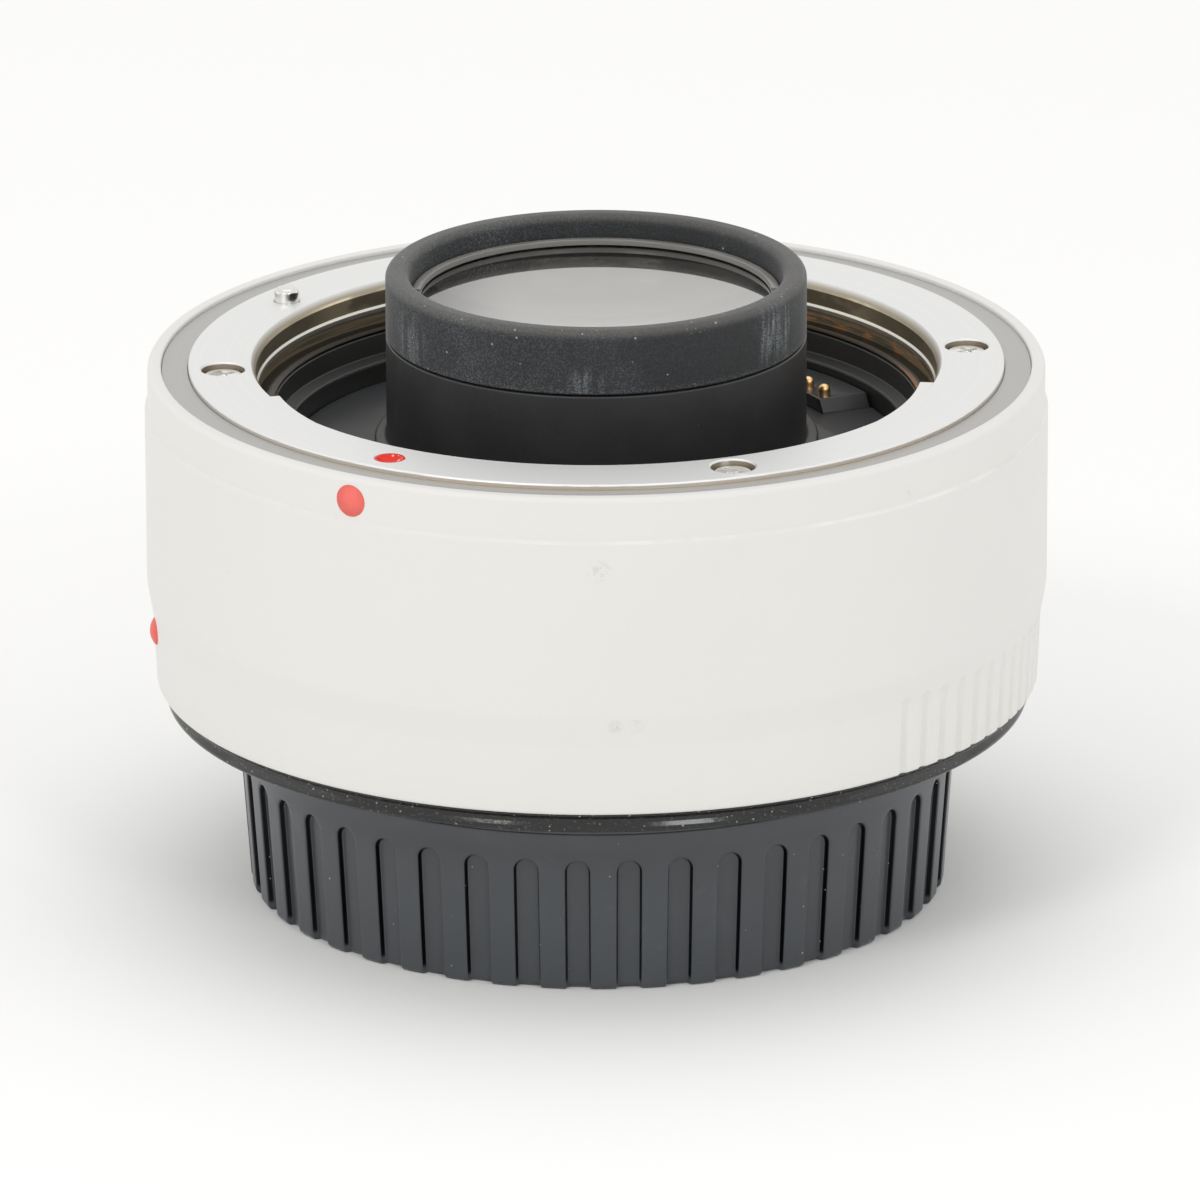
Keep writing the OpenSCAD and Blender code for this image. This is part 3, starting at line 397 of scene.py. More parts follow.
@dataclass(frozen=True)
class SatinPaint(Finish):
    """Off-white satin paint with a fine peel, painted shade in the grip grooves, a painted
    highlight along the upper crease and a few rubbed spots.
    """

    # Colour of the painted shade in the grip grooves.
    groove_shade: Colour = (0.62, 0.6, 0.54)
    mark: Colour = (0.33, 0.29, 0.22)
    tan: Colour = (0.56, 0.53, 0.44)
    crease_z: float = 39.68
    groove_r: float = 35.42
    groove_top: float = 23.6
    scuffs: tuple[Scuff, ...] = ()

    def paint(self, surface: Surface) -> None:
        """Mixes the tone, the painted crease highlight, the painted groove shade and the scuffs."""
        cloud = surface.noise(0.09, 4.0)
        fine = surface.noise(1.4, 3.0)
        tone = surface.mix(cloud.ramp(0.35, 0.75) * 0.3, self.colour, scaled(self.colour, 0.965))
        # Painted shade: the sunk grip grooves below their top are darkened.
        sunk = surface.radius.ramp(self.groove_r, self.groove_r - 0.25)
        grooves = (surface.z < self.groove_top) * sunk
        tone = surface.mix(grooves * (0.15 + 0.25 * fine), tone, self.groove_shade)
        # Painted highlight: a lighter broken line along the upper crease, fading out on the left
        # side.
        edge = (surface.z - self.crease_z).size().ramp(0.15, 0.04)
        edge = edge * surface.noise(0.16, 4.0).ramp(0.42, 0.6) * surface.x.ramp(-16.0, -4.0)
        tone = surface.mix(edge * 0.5, tone, scaled(self.colour, 1.14))
        dots = surface.specks(0.22, 0.05, 0.3)
        tone = surface.mix(dots * 0.4, tone, self.mark)
        for scuff in self.scuffs:
            patch = surface.near(scuff, 0.3)
            haze = patch * surface.noise(1.8, 5.0).ramp(0.46, 0.62)
            tone = surface.mix(haze * scuff.strength * 0.45, tone, self.tan)
            chips = patch * surface.noise(1.0, 5.0, surface.polar(150.0, 0.5, 9.0)).ramp(0.6, 0.68)
            tone = surface.mix(chips * scuff.strength, tone, self.mark)
        surface.set(Base_Color=tone, Roughness=0.4 + 0.12 * fine, Specular_IOR_Level=0.45)
        surface.bump(surface.noise(3.2, 2.0), 0.012)


@dataclass(frozen=True)
class TurnedMetal(Finish):
    """Bare metal with concentric tool marks, hairline scratches and a smoother bore; where set, it
    also carries painted reflections, painted shade, a painted highlight line and painted glints.
    """

    rough: float = 0.3
    # Colour that the bore's painted reflection is mixed from.
    bore: Colour = (0.7, 0.61, 0.44)
    bore_r: float = 0.0
    line_z: float = 41.4
    top_z: float = 43.3
    dust: float = 0.0
    warm_band_r: float = 0.0
    glint_r: float = 0.0
    marks: float = 1.0

    def paint(self, surface: Surface) -> None:
        """Mixes tool marks along the radius with arcs of scratches."""
        rings = surface.noise(1.0, 2.0, surface.polar(0.6, 14.0, 9.0))
        arcs = surface.noise(1.0, 5.0, surface.polar(2.2, 5.0, 4.0))
        tone = surface.mix(rings.ramp(0.3, 0.7) * 0.2, self.colour, scaled(self.colour, 0.86))
        tone = surface.mix(arcs.ramp(0.62, 0.72) * 0.12, tone, scaled(self.colour, 0.72))
        rough = self.rough + 0.12 * rings * self.marks
        # Painted reflections on the mount ring: a darker warm chamfer and a brown banded bore, with
        # painted shade at the bore's left and right ends.
        if self.bore_r:
            slope = surface.radius.ramp(self.bore_r + 0.33, self.bore_r)
            tone = surface.mix(slope * 0.9, tone, scaled(self.bore, 0.55))
            inside = surface.radius.ramp(self.bore_r + 0.03, self.bore_r - 0.03)
            brown_bands = surface.noise(1.0, 3.0, surface.polar(5.0, 0.2, 0.35))
            bore = surface.mix(brown_bands.ramp(0.4, 0.6), self.bore, scaled(self.bore, 0.55))
            end_shade = surface.x.size().ramp(21.0, 23.5)
            bore = surface.mix(end_shade * 0.8, bore, scaled(self.bore, 0.5))
            # Painted highlight: a light line at the bore's lower edge.
            line = inside * surface.z.ramp(self.line_z + 0.03, self.line_z - 0.03)
            tone = surface.mix(line, surface.mix(inside, tone, bore), (0.66, 0.64, 0.58))
            rough = rough - 0.1 * inside - 0.1 * line
            # Painted shade in the screw and pin bores, and a painted warm reflection on the ring's
            # outer side below its top.
            sunk = surface.z.ramp(self.top_z - 0.1, self.top_z - 0.2)
            sunk = sunk * surface.radius.ramp(27.9, 28.1)
            pit_shade = sunk * surface.radius.ramp(32.2, 32.1)
            tone = surface.mix(pit_shade * 0.9, tone, (0.3, 0.25, 0.17))
            side = sunk * surface.radius.ramp(32.2, 32.3) * arcs
            tone = surface.mix(side * 0.9, tone, (0.5, 0.42, 0.31))
        if self.dust:
            specks = surface.specks(1.3, 0.16, 0.12) * surface.noise(0.25, 3.0).ramp(0.5, 0.7)
            tone = surface.mix(specks * self.dust, tone, (0.5, 0.48, 0.42))
        # Painted highlights: orange glints near the inner edge, on the right side only.
        if self.glint_r:
            glint = surface.radius.ramp(self.glint_r + 0.4, self.glint_r + 0.05)
            glint = glint * arcs.ramp(0.45, 0.6) * surface.x.ramp(10.0, 19.0)
            tone = surface.mix(glint, tone, (0.3, 0.13, 0.04))
        # A warmer, lighter tone near the inner edge, on the front side only.
        if self.warm_band_r:
            warm_tone = surface.radius.ramp(self.warm_band_r + 0.7, self.warm_band_r)
            warm_tone = warm_tone * surface.y.ramp(-14.0, -28.0)
            tone = surface.mix(warm_tone * (0.35 + 0.5 * arcs), tone, (0.55, 0.47, 0.37))
        surface.set(Base_Color=tone, Metallic=1.0, Roughness=rough)
        surface.bump(rings, 0.004, 0.6 * self.marks)


@dataclass(frozen=True)
class MouldedPlastic(Finish):
    """Moulded plastic or anodised black with a fine grain, rubs and dust specks."""

    rough: float = 0.45
    grain: float = 0.012
    dust: float = 0.3
    dust_share: float = 0.12
    rub: float = 0.25
    specular: float = 0.5

    def tone(self, surface: Surface, cloud: Field) -> Field:
        """The colour with pale rubs and specks.

        Args:
            surface: The material's nodes.
            cloud: Slow noise that the rubs follow.

        Returns:
            The colour.
        """
        pale = scaled(self.colour, 1.45, 0.008)
        tone = surface.mix(cloud.ramp(0.42, 0.75) * self.rub, self.colour, pale)
        hairs = surface.noise(1.0, 4.0, surface.polar(9.0, 1.0, 0.35)).ramp(0.63, 0.7)
        tone = surface.mix(hairs * 0.12, tone, scaled(self.colour, 1.8, 0.02))
        specks = surface.specks(0.75, 0.09, self.dust_share)
        return surface.mix(specks * self.dust, tone, (0.55, 0.57, 0.58))

    def paint(self, surface: Surface) -> None:
        """Mixes grain into the roughness and the surface."""
        cloud = surface.noise(0.14, 4.0)
        grain = surface.noise(5.0, 2.0)
        rough = self.rough + 0.16 * cloud + 0.08 * grain - 0.12
        surface.set(Base_Color=self.tone(surface, cloud), Roughness=rough)
        surface.set(Specular_IOR_Level=self.specular)
        surface.bump(grain, self.grain, 0.7)


@dataclass(frozen=True)
class BrownBandedWall(MouldedPlastic):
    """Black whose upper wall is brown with darker bands, and painted orange glints on its right
    side.
    """

    wall_r: float = 26.7
    wall: Colour = (0.2, 0.155, 0.085)
    glint: Colour = (0.45, 0.2, 0.06)

    def tone(self, surface: Surface, cloud: Field) -> Field:
        """Adds the brown wall and its painted glints to the plain tone.

        Args:
            surface: The material's nodes.
            cloud: Slow noise that the rubs follow.

        Returns:
            The colour.
        """
        plain = MouldedPlastic.tone(self, surface, cloud)
        rings = surface.noise(1.0, 3.0, surface.polar(1.6, 0.2, 2.4))
        brown_bands = surface.mix(rings.ramp(0.38, 0.62), scaled(self.wall, 0.3), self.wall)
        # Painted highlights: orange glints on the wall, on the right side only.
        painted_glints = surface.noise(1.0, 4.0, surface.polar(14.0, 0.3, 3.0)).ramp(0.5, 0.64)
        brown_bands = surface.mix(painted_glints * surface.x.ramp(8.0, 18.0) * 0.8, brown_bands, self.glint)
        return surface.mix(surface.radius.ramp(self.wall_r, self.wall_r + 0.1), plain, brown_bands)


@dataclass(frozen=True)
class GroovedPlastic(MouldedPlastic):
    """Moulded plastic with painted shade on its groove walls and a painted reflection in its
    lighter upper band.
    """

    base_r: float = 27.95
    edge: float = 0.5
    draft: float = 4.0
    depth: float = 0.5
    shade: Colour = (0.009, 0.009, 0.01)
    band_z: float = 11.4
    band: Colour = (0.08, 0.085, 0.092)

    def tone(self, surface: Surface, cloud: Field) -> Field:
        """Adds the upper band's painted reflection and the walls' painted shade to the plain tone.

        Args:
            surface: The material's nodes.
            cloud: Slow noise that the rubs follow.

        Returns:
            The colour.
        """
        plain = MouldedPlastic.tone(self, surface, cloud)
        # Painted reflection: the upper band above the grooves is lighter.
        upper = surface.z.ramp(self.band_z, self.band_z + 1.4)
        plain = surface.mix(upper * (0.2 + 0.4 * cloud), plain, self.band)
        slope = math.tan(math.radians(self.draft))
        sunk = surface.z * slope + (self.base_r - self.edge * slope) - surface.radius
        wall = sunk.ramp(0.04, 0.14) * sunk.ramp(self.depth - 0.01, self.depth - 0.07)
        wall = wall * surface.z.ramp(self.edge, self.edge + 0.4)
        # Painted shade: the groove walls go near black, and their Metallic share set below takes
        # their gloss away.
        plain = surface.mix(wall, plain, self.shade)
        specks = surface.specks(1.3, 0.12, 0.26).at_least(wall * surface.specks(2.4, 0.2, 0.16))
        surface.set(Sheen_Weight=0.06, Sheen_Roughness=0.3, Metallic=wall * (0.9 - 0.9 * specks))
        return surface.mix(specks * self.dust, plain, (0.6, 0.62, 0.63))


@dataclass(frozen=True)
class DustyRubber(Finish):
    """Soft charcoal rubber with pale dust in smears, patches and specks."""

    rough: float = 0.72
    bloom: Colour = (0.15, 0.165, 0.175)
    # Colour of the lip's dust and painted highlight.
    lip: Colour = (0.25, 0.24, 0.225)
    seam_z: float = 45.5
    rim_z: float = 50.75
    smears: tuple[Scuff, ...] = ()

    def paint(self, surface: Surface) -> None:
        """Mixes fine grit, smears that run down the wall, a lighter lip of dust and painted
        highlight, and specks.
        """
        cloud = surface.noise(0.16, 3.0)
        fine = surface.noise(3.0, 4.0)
        grit = surface.noise(7.0, 3.0)
        streak = surface.noise(1.0, 4.0, surface.polar(26.0, 0.3, 0.14))
        tone = surface.mix(cloud.ramp(0.35, 0.7) * 0.6, self.colour, scaled(self.colour, 1.5))
        haze = 0.12 + 0.3 * cloud.ramp(0.4, 0.7) + 0.22 * surface.x.ramp(6.0, -9.0)
        tone = surface.mix(haze * grit.ramp(0.44, 0.66), tone, self.bloom)
        seam = surface.z.ramp(self.seam_z + 0.7, self.seam_z + 0.1)
        tone = surface.mix(seam * grit.ramp(0.46, 0.62) * 0.5, tone, self.bloom)
        # The top lip is lighter: partly dust, partly a painted highlight along the rim.
        rim = surface.z.ramp(self.rim_z - 0.9, self.rim_z - 0.1)
        tone = surface.mix(rim * (0.25 + 0.5 * fine) * 0.5, tone, self.lip)
        for smear in self.smears:
            rubbed = surface.near(smear, 0.15) * streak.ramp(0.42, 0.66) * grit.ramp(0.36, 0.56)
            tone = surface.mix(rubbed * smear.strength, tone, scaled(self.bloom, 2.0))
        specks = surface.specks(1.1, 0.14, 0.5).at_least(
            rim * surface.y.ramp(-2.0, -9.0) * surface.specks(2.6, 0.3, 0.5)
        )
        tone = surface.mix(specks * 0.75, tone, (0.45, 0.46, 0.46))
        surface.set(Base_Color=tone, Roughness=self.rough + 0.2 * cloud - 0.06)
        surface.set(Specular_IOR_Level=0.35)
        surface.set(Sheen_Weight=0.22, Sheen_Roughness=0.35, Sheen_Tint=(1.0, 1.0, 0.98))
        surface.bump(fine, 0.02, 0.6)


@dataclass(frozen=True)
class SealRubber(Finish):
    """Glossy black sealing rubber with lint."""

    def paint(self, surface: Surface) -> None:
        """Mixes lint specks and short hairs over a glossy black."""
        lint = surface.specks(2.6, 0.34, 0.5) * surface.noise(0.3, 3.0).ramp(0.32, 0.5)
        hair = surface.noise(1.0, 6.0, surface.polar(110.0, 4.0, 5.0)).ramp(0.58, 0.68)
        tone = surface.mix(hair * 0.5, self.colour, (0.13, 0.125, 0.11))
        tone = surface.mix(lint * 0.55, tone, (0.48, 0.47, 0.43))
        cloud = surface.noise(0.35, 3.0)
        surface.set(Base_Color=tone, Roughness=0.08 + 0.1 * cloud + 0.35 * lint)
        surface.set(Specular_IOR_Level=0.5)
        surface.bump(surface.noise(2.2, 3.0), 0.02, 0.4)


@dataclass(frozen=True)
class Enamel(Finish):
    """Red enamel with a faint unevenness."""

    rough: float = 0.35
    gloss: float = 0.4
    glints: float = 0.0

    def paint(self, surface: Surface) -> None:
        """Mixes darker patches and small painted glints into the enamel."""
        cloud = surface.noise(1.2, 3.0)
        tone = surface.mix(cloud.ramp(0.4, 0.7) * 0.3, self.colour, scaled(self.colour, 0.82))
        # Painted highlights: small pale pink glints.
        if self.glints:
            specks = surface.specks(2.2, 0.5, 0.5)
            tone = surface.mix(specks * self.glints, tone, (0.95, 0.62, 0.58))
        surface.set(Base_Color=tone, Roughness=self.rough + 0.1 * cloud)
        surface.set(Specular_IOR_Level=self.gloss)
        surface.bump(surface.noise(3.0, 2.0), 0.01, 0.4)


@dataclass(frozen=True)
class CoatedGlass(Finish):
    """Optical glass with a coating's gloss and a trace of dust."""

    index: float = 2.0
    gloss: float = 1.0
    coat: float = 2.4
    dim: Point2 = (-60.0, -50.0)

    def paint(self, surface: Surface) -> None:
        """Sets the glass and lets dust dull it in places."""
        haze = surface.noise(0.3, 4.0).ramp(0.5, 0.8)
        specks = surface.specks(0.9, 0.06, 0.1)
        surface.set(
            Base_Color=self.colour,
            Roughness=0.01 + 0.04 * haze + 0.2 * specks,
            IOR=self.index,
            Transmission_Weight=1.0,
            Coat_Weight=self.gloss * (0.15 + 0.85 * surface.x.ramp(*self.dim)),
            Coat_Roughness=0.02,
            Coat_IOR=self.coat,
            Coat_Tint=(1.0, 0.985, 0.955),
        )


@dataclass(frozen=True)
class Laminate(Finish):
    """Circuit laminate with copper runs under its lacquer."""

    def paint(self, surface: Surface) -> None:
        """Mixes ring-shaped runs into the green."""
        runs = surface.noise(1.0, 2.0, surface.polar(3.0, 2.4, 0.1)).ramp(0.5, 0.54)
        tone = surface.mix(runs * 0.6, self.colour, scaled(self.colour, 2.2))
        rough = 0.3 + 0.15 * surface.noise(1.0, 3.0)
        surface.set(Base_Color=tone, Roughness=rough, Coat_Weight=0.3)


WHITE = SatinPaint(
    "white_satin_paint",
    (0.755, 0.748, 0.724),
    scuffs=(
        Scuff((0.2, -36.0, 37.4), 1.2, 0.9),
        Scuff((3.0, -35.8, 24.7), 0.8, 0.8),
        Scuff((1.4, -35.9, 24.7), 0.8, 0.8),
        Scuff((24.5, -26.2, 40.6), 0.8, 0.35),
        Scuff((-28.9, -21.4, 33.0), 0.9, 0.3),
    ),
)
LEVER_PAINT = SatinPaint("lever_paint", (0.755, 0.748, 0.724), groove_top=0.0)
GREY_RING = TurnedMetal("grey_face_metal", (0.47, 0.466, 0.455), rough=0.4, dust=0.5, warm_band_r=32.6)
MOUNT_STEEL = TurnedMetal("mount_steel", (0.77, 0.77, 0.762), rough=0.46, bore_r=27.2)
TAB_STEEL = TurnedMetal("tab_steel", (0.8, 0.795, 0.78), rough=0.34)
SCREW_STEEL = TurnedMetal("screw_steel", (0.88, 0.87, 0.85), rough=0.3, marks=0.4)
BRIGHT_STEEL = TurnedMetal("bright_steel", (0.74, 0.73, 0.71), rough=0.16, marks=0.5)
SPRING_STEEL = TurnedMetal("spring_steel", (0.04, 0.034, 0.027), marks=0.4, glint_r=25.75)
GOLD = TurnedMetal("gold_plate", (0.95, 0.62, 0.31), rough=0.34, marks=0.3)
DOT_RED = Enamel("dot_red", (0.87, 0.16, 0.13), rough=0.45)
INDEX_RED = Enamel("index_red", (0.74, 0.04, 0.03), rough=0.16, gloss=0.1, glints=0.9)
DOME_RED = Enamel("dome_red", (0.8, 0.13, 0.1))
TUBE_BLACK = MouldedPlastic("tube_black", (0.027, 0.027, 0.028), rough=0.42, dust=0.25, rub=0.35)
WELL_BLACK = MouldedPlastic("well_black", (0.011, 0.012, 0.011), rough=0.4, dust=0.15, rub=0.2)
LINER_BLACK = BrownBandedWall("liner_black", (0.011, 0.012, 0.011), rough=0.4, dust=0.15, rub=0.2)
FLOOR_GREY = MouldedPlastic("well_floor_grey", (0.035, 0.037, 0.04), rough=0.42, dust=0.2, rub=0.3)
# Painted reflection: the front retaining ring is satin black metal, given a light grey for the
# white it mirrors at a grazing angle.
RING_REFLECTION_GREY = MouldedPlastic("ring_reflection_grey", (0.24, 0.232, 0.22), rough=0.3, dust=0.05, rub=0.2)
RING_BLACK = MouldedPlastic("anodised_black", (0.03, 0.03, 0.03), rough=0.38, dust=0.1, rub=0.2)
CAP_PLASTIC = GroovedPlastic(
    "cap_plastic", (0.054, 0.06, 0.067), rough=0.32, grain=0.005, dust=0.6, rub=0.22
)
COLLAR_RUBBER = DustyRubber(
    "collar_rubber",
    (0.029, 0.03, 0.032),
    smears=(
        Scuff((14.2, -8.9, 48.2), 3.6, 0.85),
        Scuff((-0.8, -16.7, 46.4), 1.9, 0.6),
        Scuff((-14.8, -7.8, 47.4), 3.4, 0.4),
    ),
)
SEAL = SealRubber("seal_rubber", (0.008, 0.008, 0.008))
FRONT_GLASS = CoatedGlass("front_glass", (0.2, 0.195, 0.185), dim=(-14.5, -6.0))
INNER_GLASS = CoatedGlass("inner_glass", (0.93, 0.95, 0.94), index=1.6, gloss=0.3)
BOARD = Laminate("board_laminate", (0.02, 0.13, 0.06))

NODE_FINISHES: dict[str, Finish] = {
    "lens_index_dot": DOT_RED,
    "mount_index_dimple": INDEX_RED,
    "camera_index_dome": DOME_RED,
    "bayonet_spring": SPRING_STEEL,
    "front_liner": LINER_BLACK,
    "well_floor": FLOOR_GREY,
    "contact_block": FLOOR_GREY,
    "contact_pins": GOLD,
    "contact_springs": BRIGHT_STEEL,
    "front_retaining_ring": RING_REFLECTION_GREY,
    "lens_cell": RING_BLACK,
    "middle_retaining_ring": RING_BLACK,
    "rear_retaining_ring": RING_BLACK,
    "cell_screws": BRIGHT_STEEL,
    "circuit_board": BOARD,
    "controller_chip": WELL_BLACK,
    "main_frame": RING_BLACK,
    "lock_pin": BRIGHT_STEEL,
    "lock_carrier": BRIGHT_STEEL,
    "release_lever": LEVER_PAINT,
    "lever_screw": BRIGHT_STEEL,
    "lock_spring": BRIGHT_STEEL,
    "rear_mount": BRIGHT_STEEL,
    "rear_mount_screws": BRIGHT_STEEL,
    "rear_baffle": WELL_BLACK,
    "rear_contact_block": WELL_BLACK,
    "rear_contacts": GOLD,
    **{f"element_{number}": INNER_GLASS for number in range(2, 8)},
}


# Mesh tools


@dataclass(frozen=True)
class Corner:
    """A corner of a turned profile: radius, height and fillet in millimetres."""

    r: float
    z: float
    fillet: float = 0.0


def rounded(corners: Sequence[Corner], steps: int = 4) -> list[Point2]:
    """A closed profile with its fillets.

    Args:
        corners: Corners in order.
        steps: Segments of each fillet.

    Returns:
        Points of radius and height.
    """
    points: list[Point2] = []
    last, following = (corners[-1], *corners[:-1]), (*corners[1:], corners[0])
    for before, here, after in zip(last, corners, following):
        at = Vector((here.r, here.z))
        back = Vector((before.r, before.z)) - at
        ahead = Vector((after.r, after.z)) - at
        half = back.angle(ahead, math.pi) / 2
        if here.fillet <= 0 or half > math.radians(89.5):
            points.append((here.r, here.z))
            continue
        run = min(here.fillet / math.tan(half), back.length * 0.49, ahead.length * 0.49)
        radius = run * math.tan(half)
        start, end = at + back.normalized() * run, at + ahead.normalized() * run
        inwards = (back.normalized() + ahead.normalized()).normalized()
        centre = at + inwards * (radius / math.sin(half))
        sweep = (start - centre).angle_signed(end - centre)
        for step in range(steps + 1):
            spoke = (start - centre).copy()
            spoke.rotate(Matrix.Rotation(-sweep * step / steps, 2))
            points.append((centre.x + spoke.x, centre.y + spoke.y))
    return points


def subdivided(
    points: Sequence[Point2], low: float, high: float, step: float, beyond: float
) -> list[Point2]:
    """Adds points on the long outer lines between two heights.

    Args:
        points: A closed profile.
        low: Lower height.
        high: Upper height.
        step: Longest line that stays.
        beyond: Radius past which lines are divided.

    Returns:
        The finer profile.
    """
    result: list[Point2] = []
    for (r0, z0), (r1, z1) in zip(points, (*points[1:], points[0])):
        result.append((r0, z0))
        if min(r0, r1) < beyond or max(z0, z1) > high or min(z0, z1) < low:
            continue
        count = math.ceil(math.hypot(r1 - r0, z1 - z0) / step)
        for i in range(1, count):
            result.append((r0 + (r1 - r0) * i / count, z0 + (z1 - z0) * i / count))
    return result


def even_turn(count: int) -> list[float]:
    """Angles of an even division of the full turn, in degrees."""
    return [FULL_TURN * i / count for i in range(count)]


def polar_point(r: float, angle: float, z: float) -> Vector:
    """A point in metres from a radius, an angle in degrees and a height in millimetres."""
    a = math.radians(angle)
    return Vector((r * math.cos(a), r * math.sin(a), z)) * MM


def new_object(name: str, mesh: bpy.types.Mesh) -> bpy.types.Object:
    """Links a new object at the origin."""
    made = bpy.data.objects.new(name, mesh)
    bpy.context.scene.collection.objects.link(made)
    return made


def mesh_object(name: str, shape: bmesh.types.BMesh) -> bpy.types.Object:
    """Turns a closed shape into an object with its faces pointing outwards.

    Args:
        name: Name of the piece.
        shape: The shape, which is freed.

    Returns:
        The object.
    """
    bmesh.ops.recalc_face_normals(shape, faces=shape.faces[:])
    mesh = bpy.data.meshes.new(name)
    shape.to_mesh(mesh)
    shape.free()
    return new_object(name, mesh)


def add_turned(
    shape: bmesh.types.BMesh,
    profile: Sequence[Point2],
    angles: Sequence[float],
    centre: Vector,
    closed: bool,
) -> None:
    """Adds a profile turned round an upright axis.

    Args:
        shape: The shape that it goes into.
        profile: Points of radius and height; points on the axis become poles.
        angles: Angles of the columns, in degrees.
        centre: Foot of the axis, in metres.
        closed: Whether the last point joins the first.
    """
    rows: list[list[bmesh.types.BMVert]] = []
    for r, z in profile:
        if r < ON_AXIS:
            pole = shape.verts.new(centre + Vector((0.0, 0.0, z * MM)))
            rows.append([pole] * len(angles))
        else:
            rows.append([shape.verts.new(centre + polar_point(r, a, z)) for a in angles])
    for low, high in zip(rows, rows[1:] + rows[: int(closed)]):
        for i in range(len(angles)):
            j = (i + 1) % len(angles)
            ring = list(dict.fromkeys((low[i], low[j], high[j], high[i])))
            if len(ring) > 2:
                shape.faces.new(ring)


def turned(name: str, profile: Sequence[Point2], angles: Sequence[float]) -> bpy.types.Object:
    """Turns a closed profile round the optical axis.

    Args:
        name: Name of the piece.
        profile: Points of radius and height; points on the axis become poles.
        angles: Angles of the columns, in degrees.

    Returns:
        The object.
    """
    shape = bmesh.new()
    add_turned(shape, profile, angles, Vector(), closed=True)
    return mesh_object(name, shape)


def swept_arc(
    shape: bmesh.types.BMesh, profile: Sequence[Point2], start: float, end: float, steps: int
) -> None:
    """Adds a closed profile swept through part of a turn.

    Args:
        shape: The shape that it goes into.
        profile: Points of radius and height.
        start: First angle in degrees.
        end: Last angle in degrees.
        steps: Segments along the arc.
    """
    rows = [
        [shape.verts.new(polar_point(r, start + (end - start) * i / steps, z)) for r, z in profile]
        for i in range(steps + 1)
    ]
    for here, there in zip(rows, rows[1:]):
        for k in range(len(profile)):
            n = (k + 1) % len(profile)
            shape.faces.new((here[k], here[n], there[n], there[k]))
    shape.faces.new(rows[0])
    shape.faces.new(rows[-1])


def drill(shape: bmesh.types.BMesh, r: float, angle: float, profile: Sequence[Point2]) -> None:
    """Adds an upright turned cutter.

    Args:
        shape: The shape that it goes into.
        r: Distance of its axis from the optical axis.
        angle: Angle of its axis in degrees.
        profile: Points of radius and height, from the axis to the axis.
    """
    foot = polar_point(r, angle, 0.0)
    add_turned(shape, profile, even_turn(BORE_SIDES), foot, closed=False)


def radial_block(
    angle: float, r: Point2, z: Point2, width: float, corner: float
) -> bmesh.types.BMesh:
    """A block with rounded corners that points outwards.

    Args:
        angle: Angle of its middle in degrees.
        r: Inner and outer distance from the axis.
        z: Lower and upper height.
        width: Width across.
        corner: Radius of its corners.

    Returns:
        The block.
    """
    half, (low, high) = width / 2, z
    places = ((-half, low), (half, low), (half, high), (-half, high))
    outline = rounded([Corner(side, height, corner) for side, height in places], 6)
    shape = bmesh.new()
    turn = Matrix.Rotation(math.radians(angle), 4, "Z")
    rows = [
        [shape.verts.new(turn @ Vector((out * MM, s * MM, h * MM))) for s, h in outline]
        for out in r
    ]
    for i in range(len(outline)):
        j = (i + 1) % len(outline)
        shape.faces.new((rows[0][i], rows[0][j], rows[1][j], rows[1][i]))
    shape.faces.new(rows[0])
    shape.faces.new(rows[1])
    return shape


def freeze(obj: bpy.types.Object) -> bpy.types.Object:
    """Turns an object's modifiers into a plain mesh.

    Args:
        obj: The object, whose mesh is replaced.

    Returns:
        The same object.
    """
    graph = bpy.context.evaluated_depsgraph_get()
    mesh = bpy.data.meshes.new_from_object(
        obj.evaluated_get(graph), preserve_all_data_layers=True, depsgraph=graph
    )
    obj.modifiers.clear()
    old, obj.data = obj.data, mesh
    bpy.data.meshes.remove(old)
    return obj


def cut_away(obj: bpy.types.Object, *cutters: bpy.types.Object) -> bpy.types.Object:
    """Cuts shapes out of a piece and removes the cutters.

    Args:
        obj: The piece.
        cutters: Closed shapes.

    Returns:
        The piece.
    """
    for cutter in cutters:
        modifier = obj.modifiers.new("cut", "BOOLEAN")
        modifier.operation = "DIFFERENCE"
        modifier.solver = "EXACT"
        modifier.object = cutter
    freeze(obj)
    for cutter in cutters:
        bpy.data.meshes.remove(cutter.data)
    return obj


def smooth(obj: bpy.types.Object, angle: float = 38.0) -> bpy.types.Object:
    """Shades a piece smoothly up to an angle, with flat faces kept flat.

    Args:
        obj: The piece.
        angle: Sharpest smooth edge in degrees.

    Returns:
        The piece.
    """
    obj.data.polygons.foreach_set("use_smooth", [True] * len(obj.data.polygons))
    obj.data.set_sharp_from_angle(angle=math.radians(angle))
    weighted = obj.modifiers.new("flat_faces", "WEIGHTED_NORMAL")
    weighted.keep_sharp = True
    weighted.weight = 80
    return freeze(obj)


def dress(obj: bpy.types.Object, finish: Finish, body: Body, slot: str, *nodes: str) -> None:
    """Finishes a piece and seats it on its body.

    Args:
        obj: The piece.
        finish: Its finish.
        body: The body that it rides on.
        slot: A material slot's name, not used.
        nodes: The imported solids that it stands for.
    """
    obj.data.materials.clear()
    obj.data.materials.append(finish.material())
    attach(obj, body.value)
    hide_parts(*nodes)
    LOG.info("%s: %d faces, on %s", obj.name, len(obj.data.polygons), body.value)


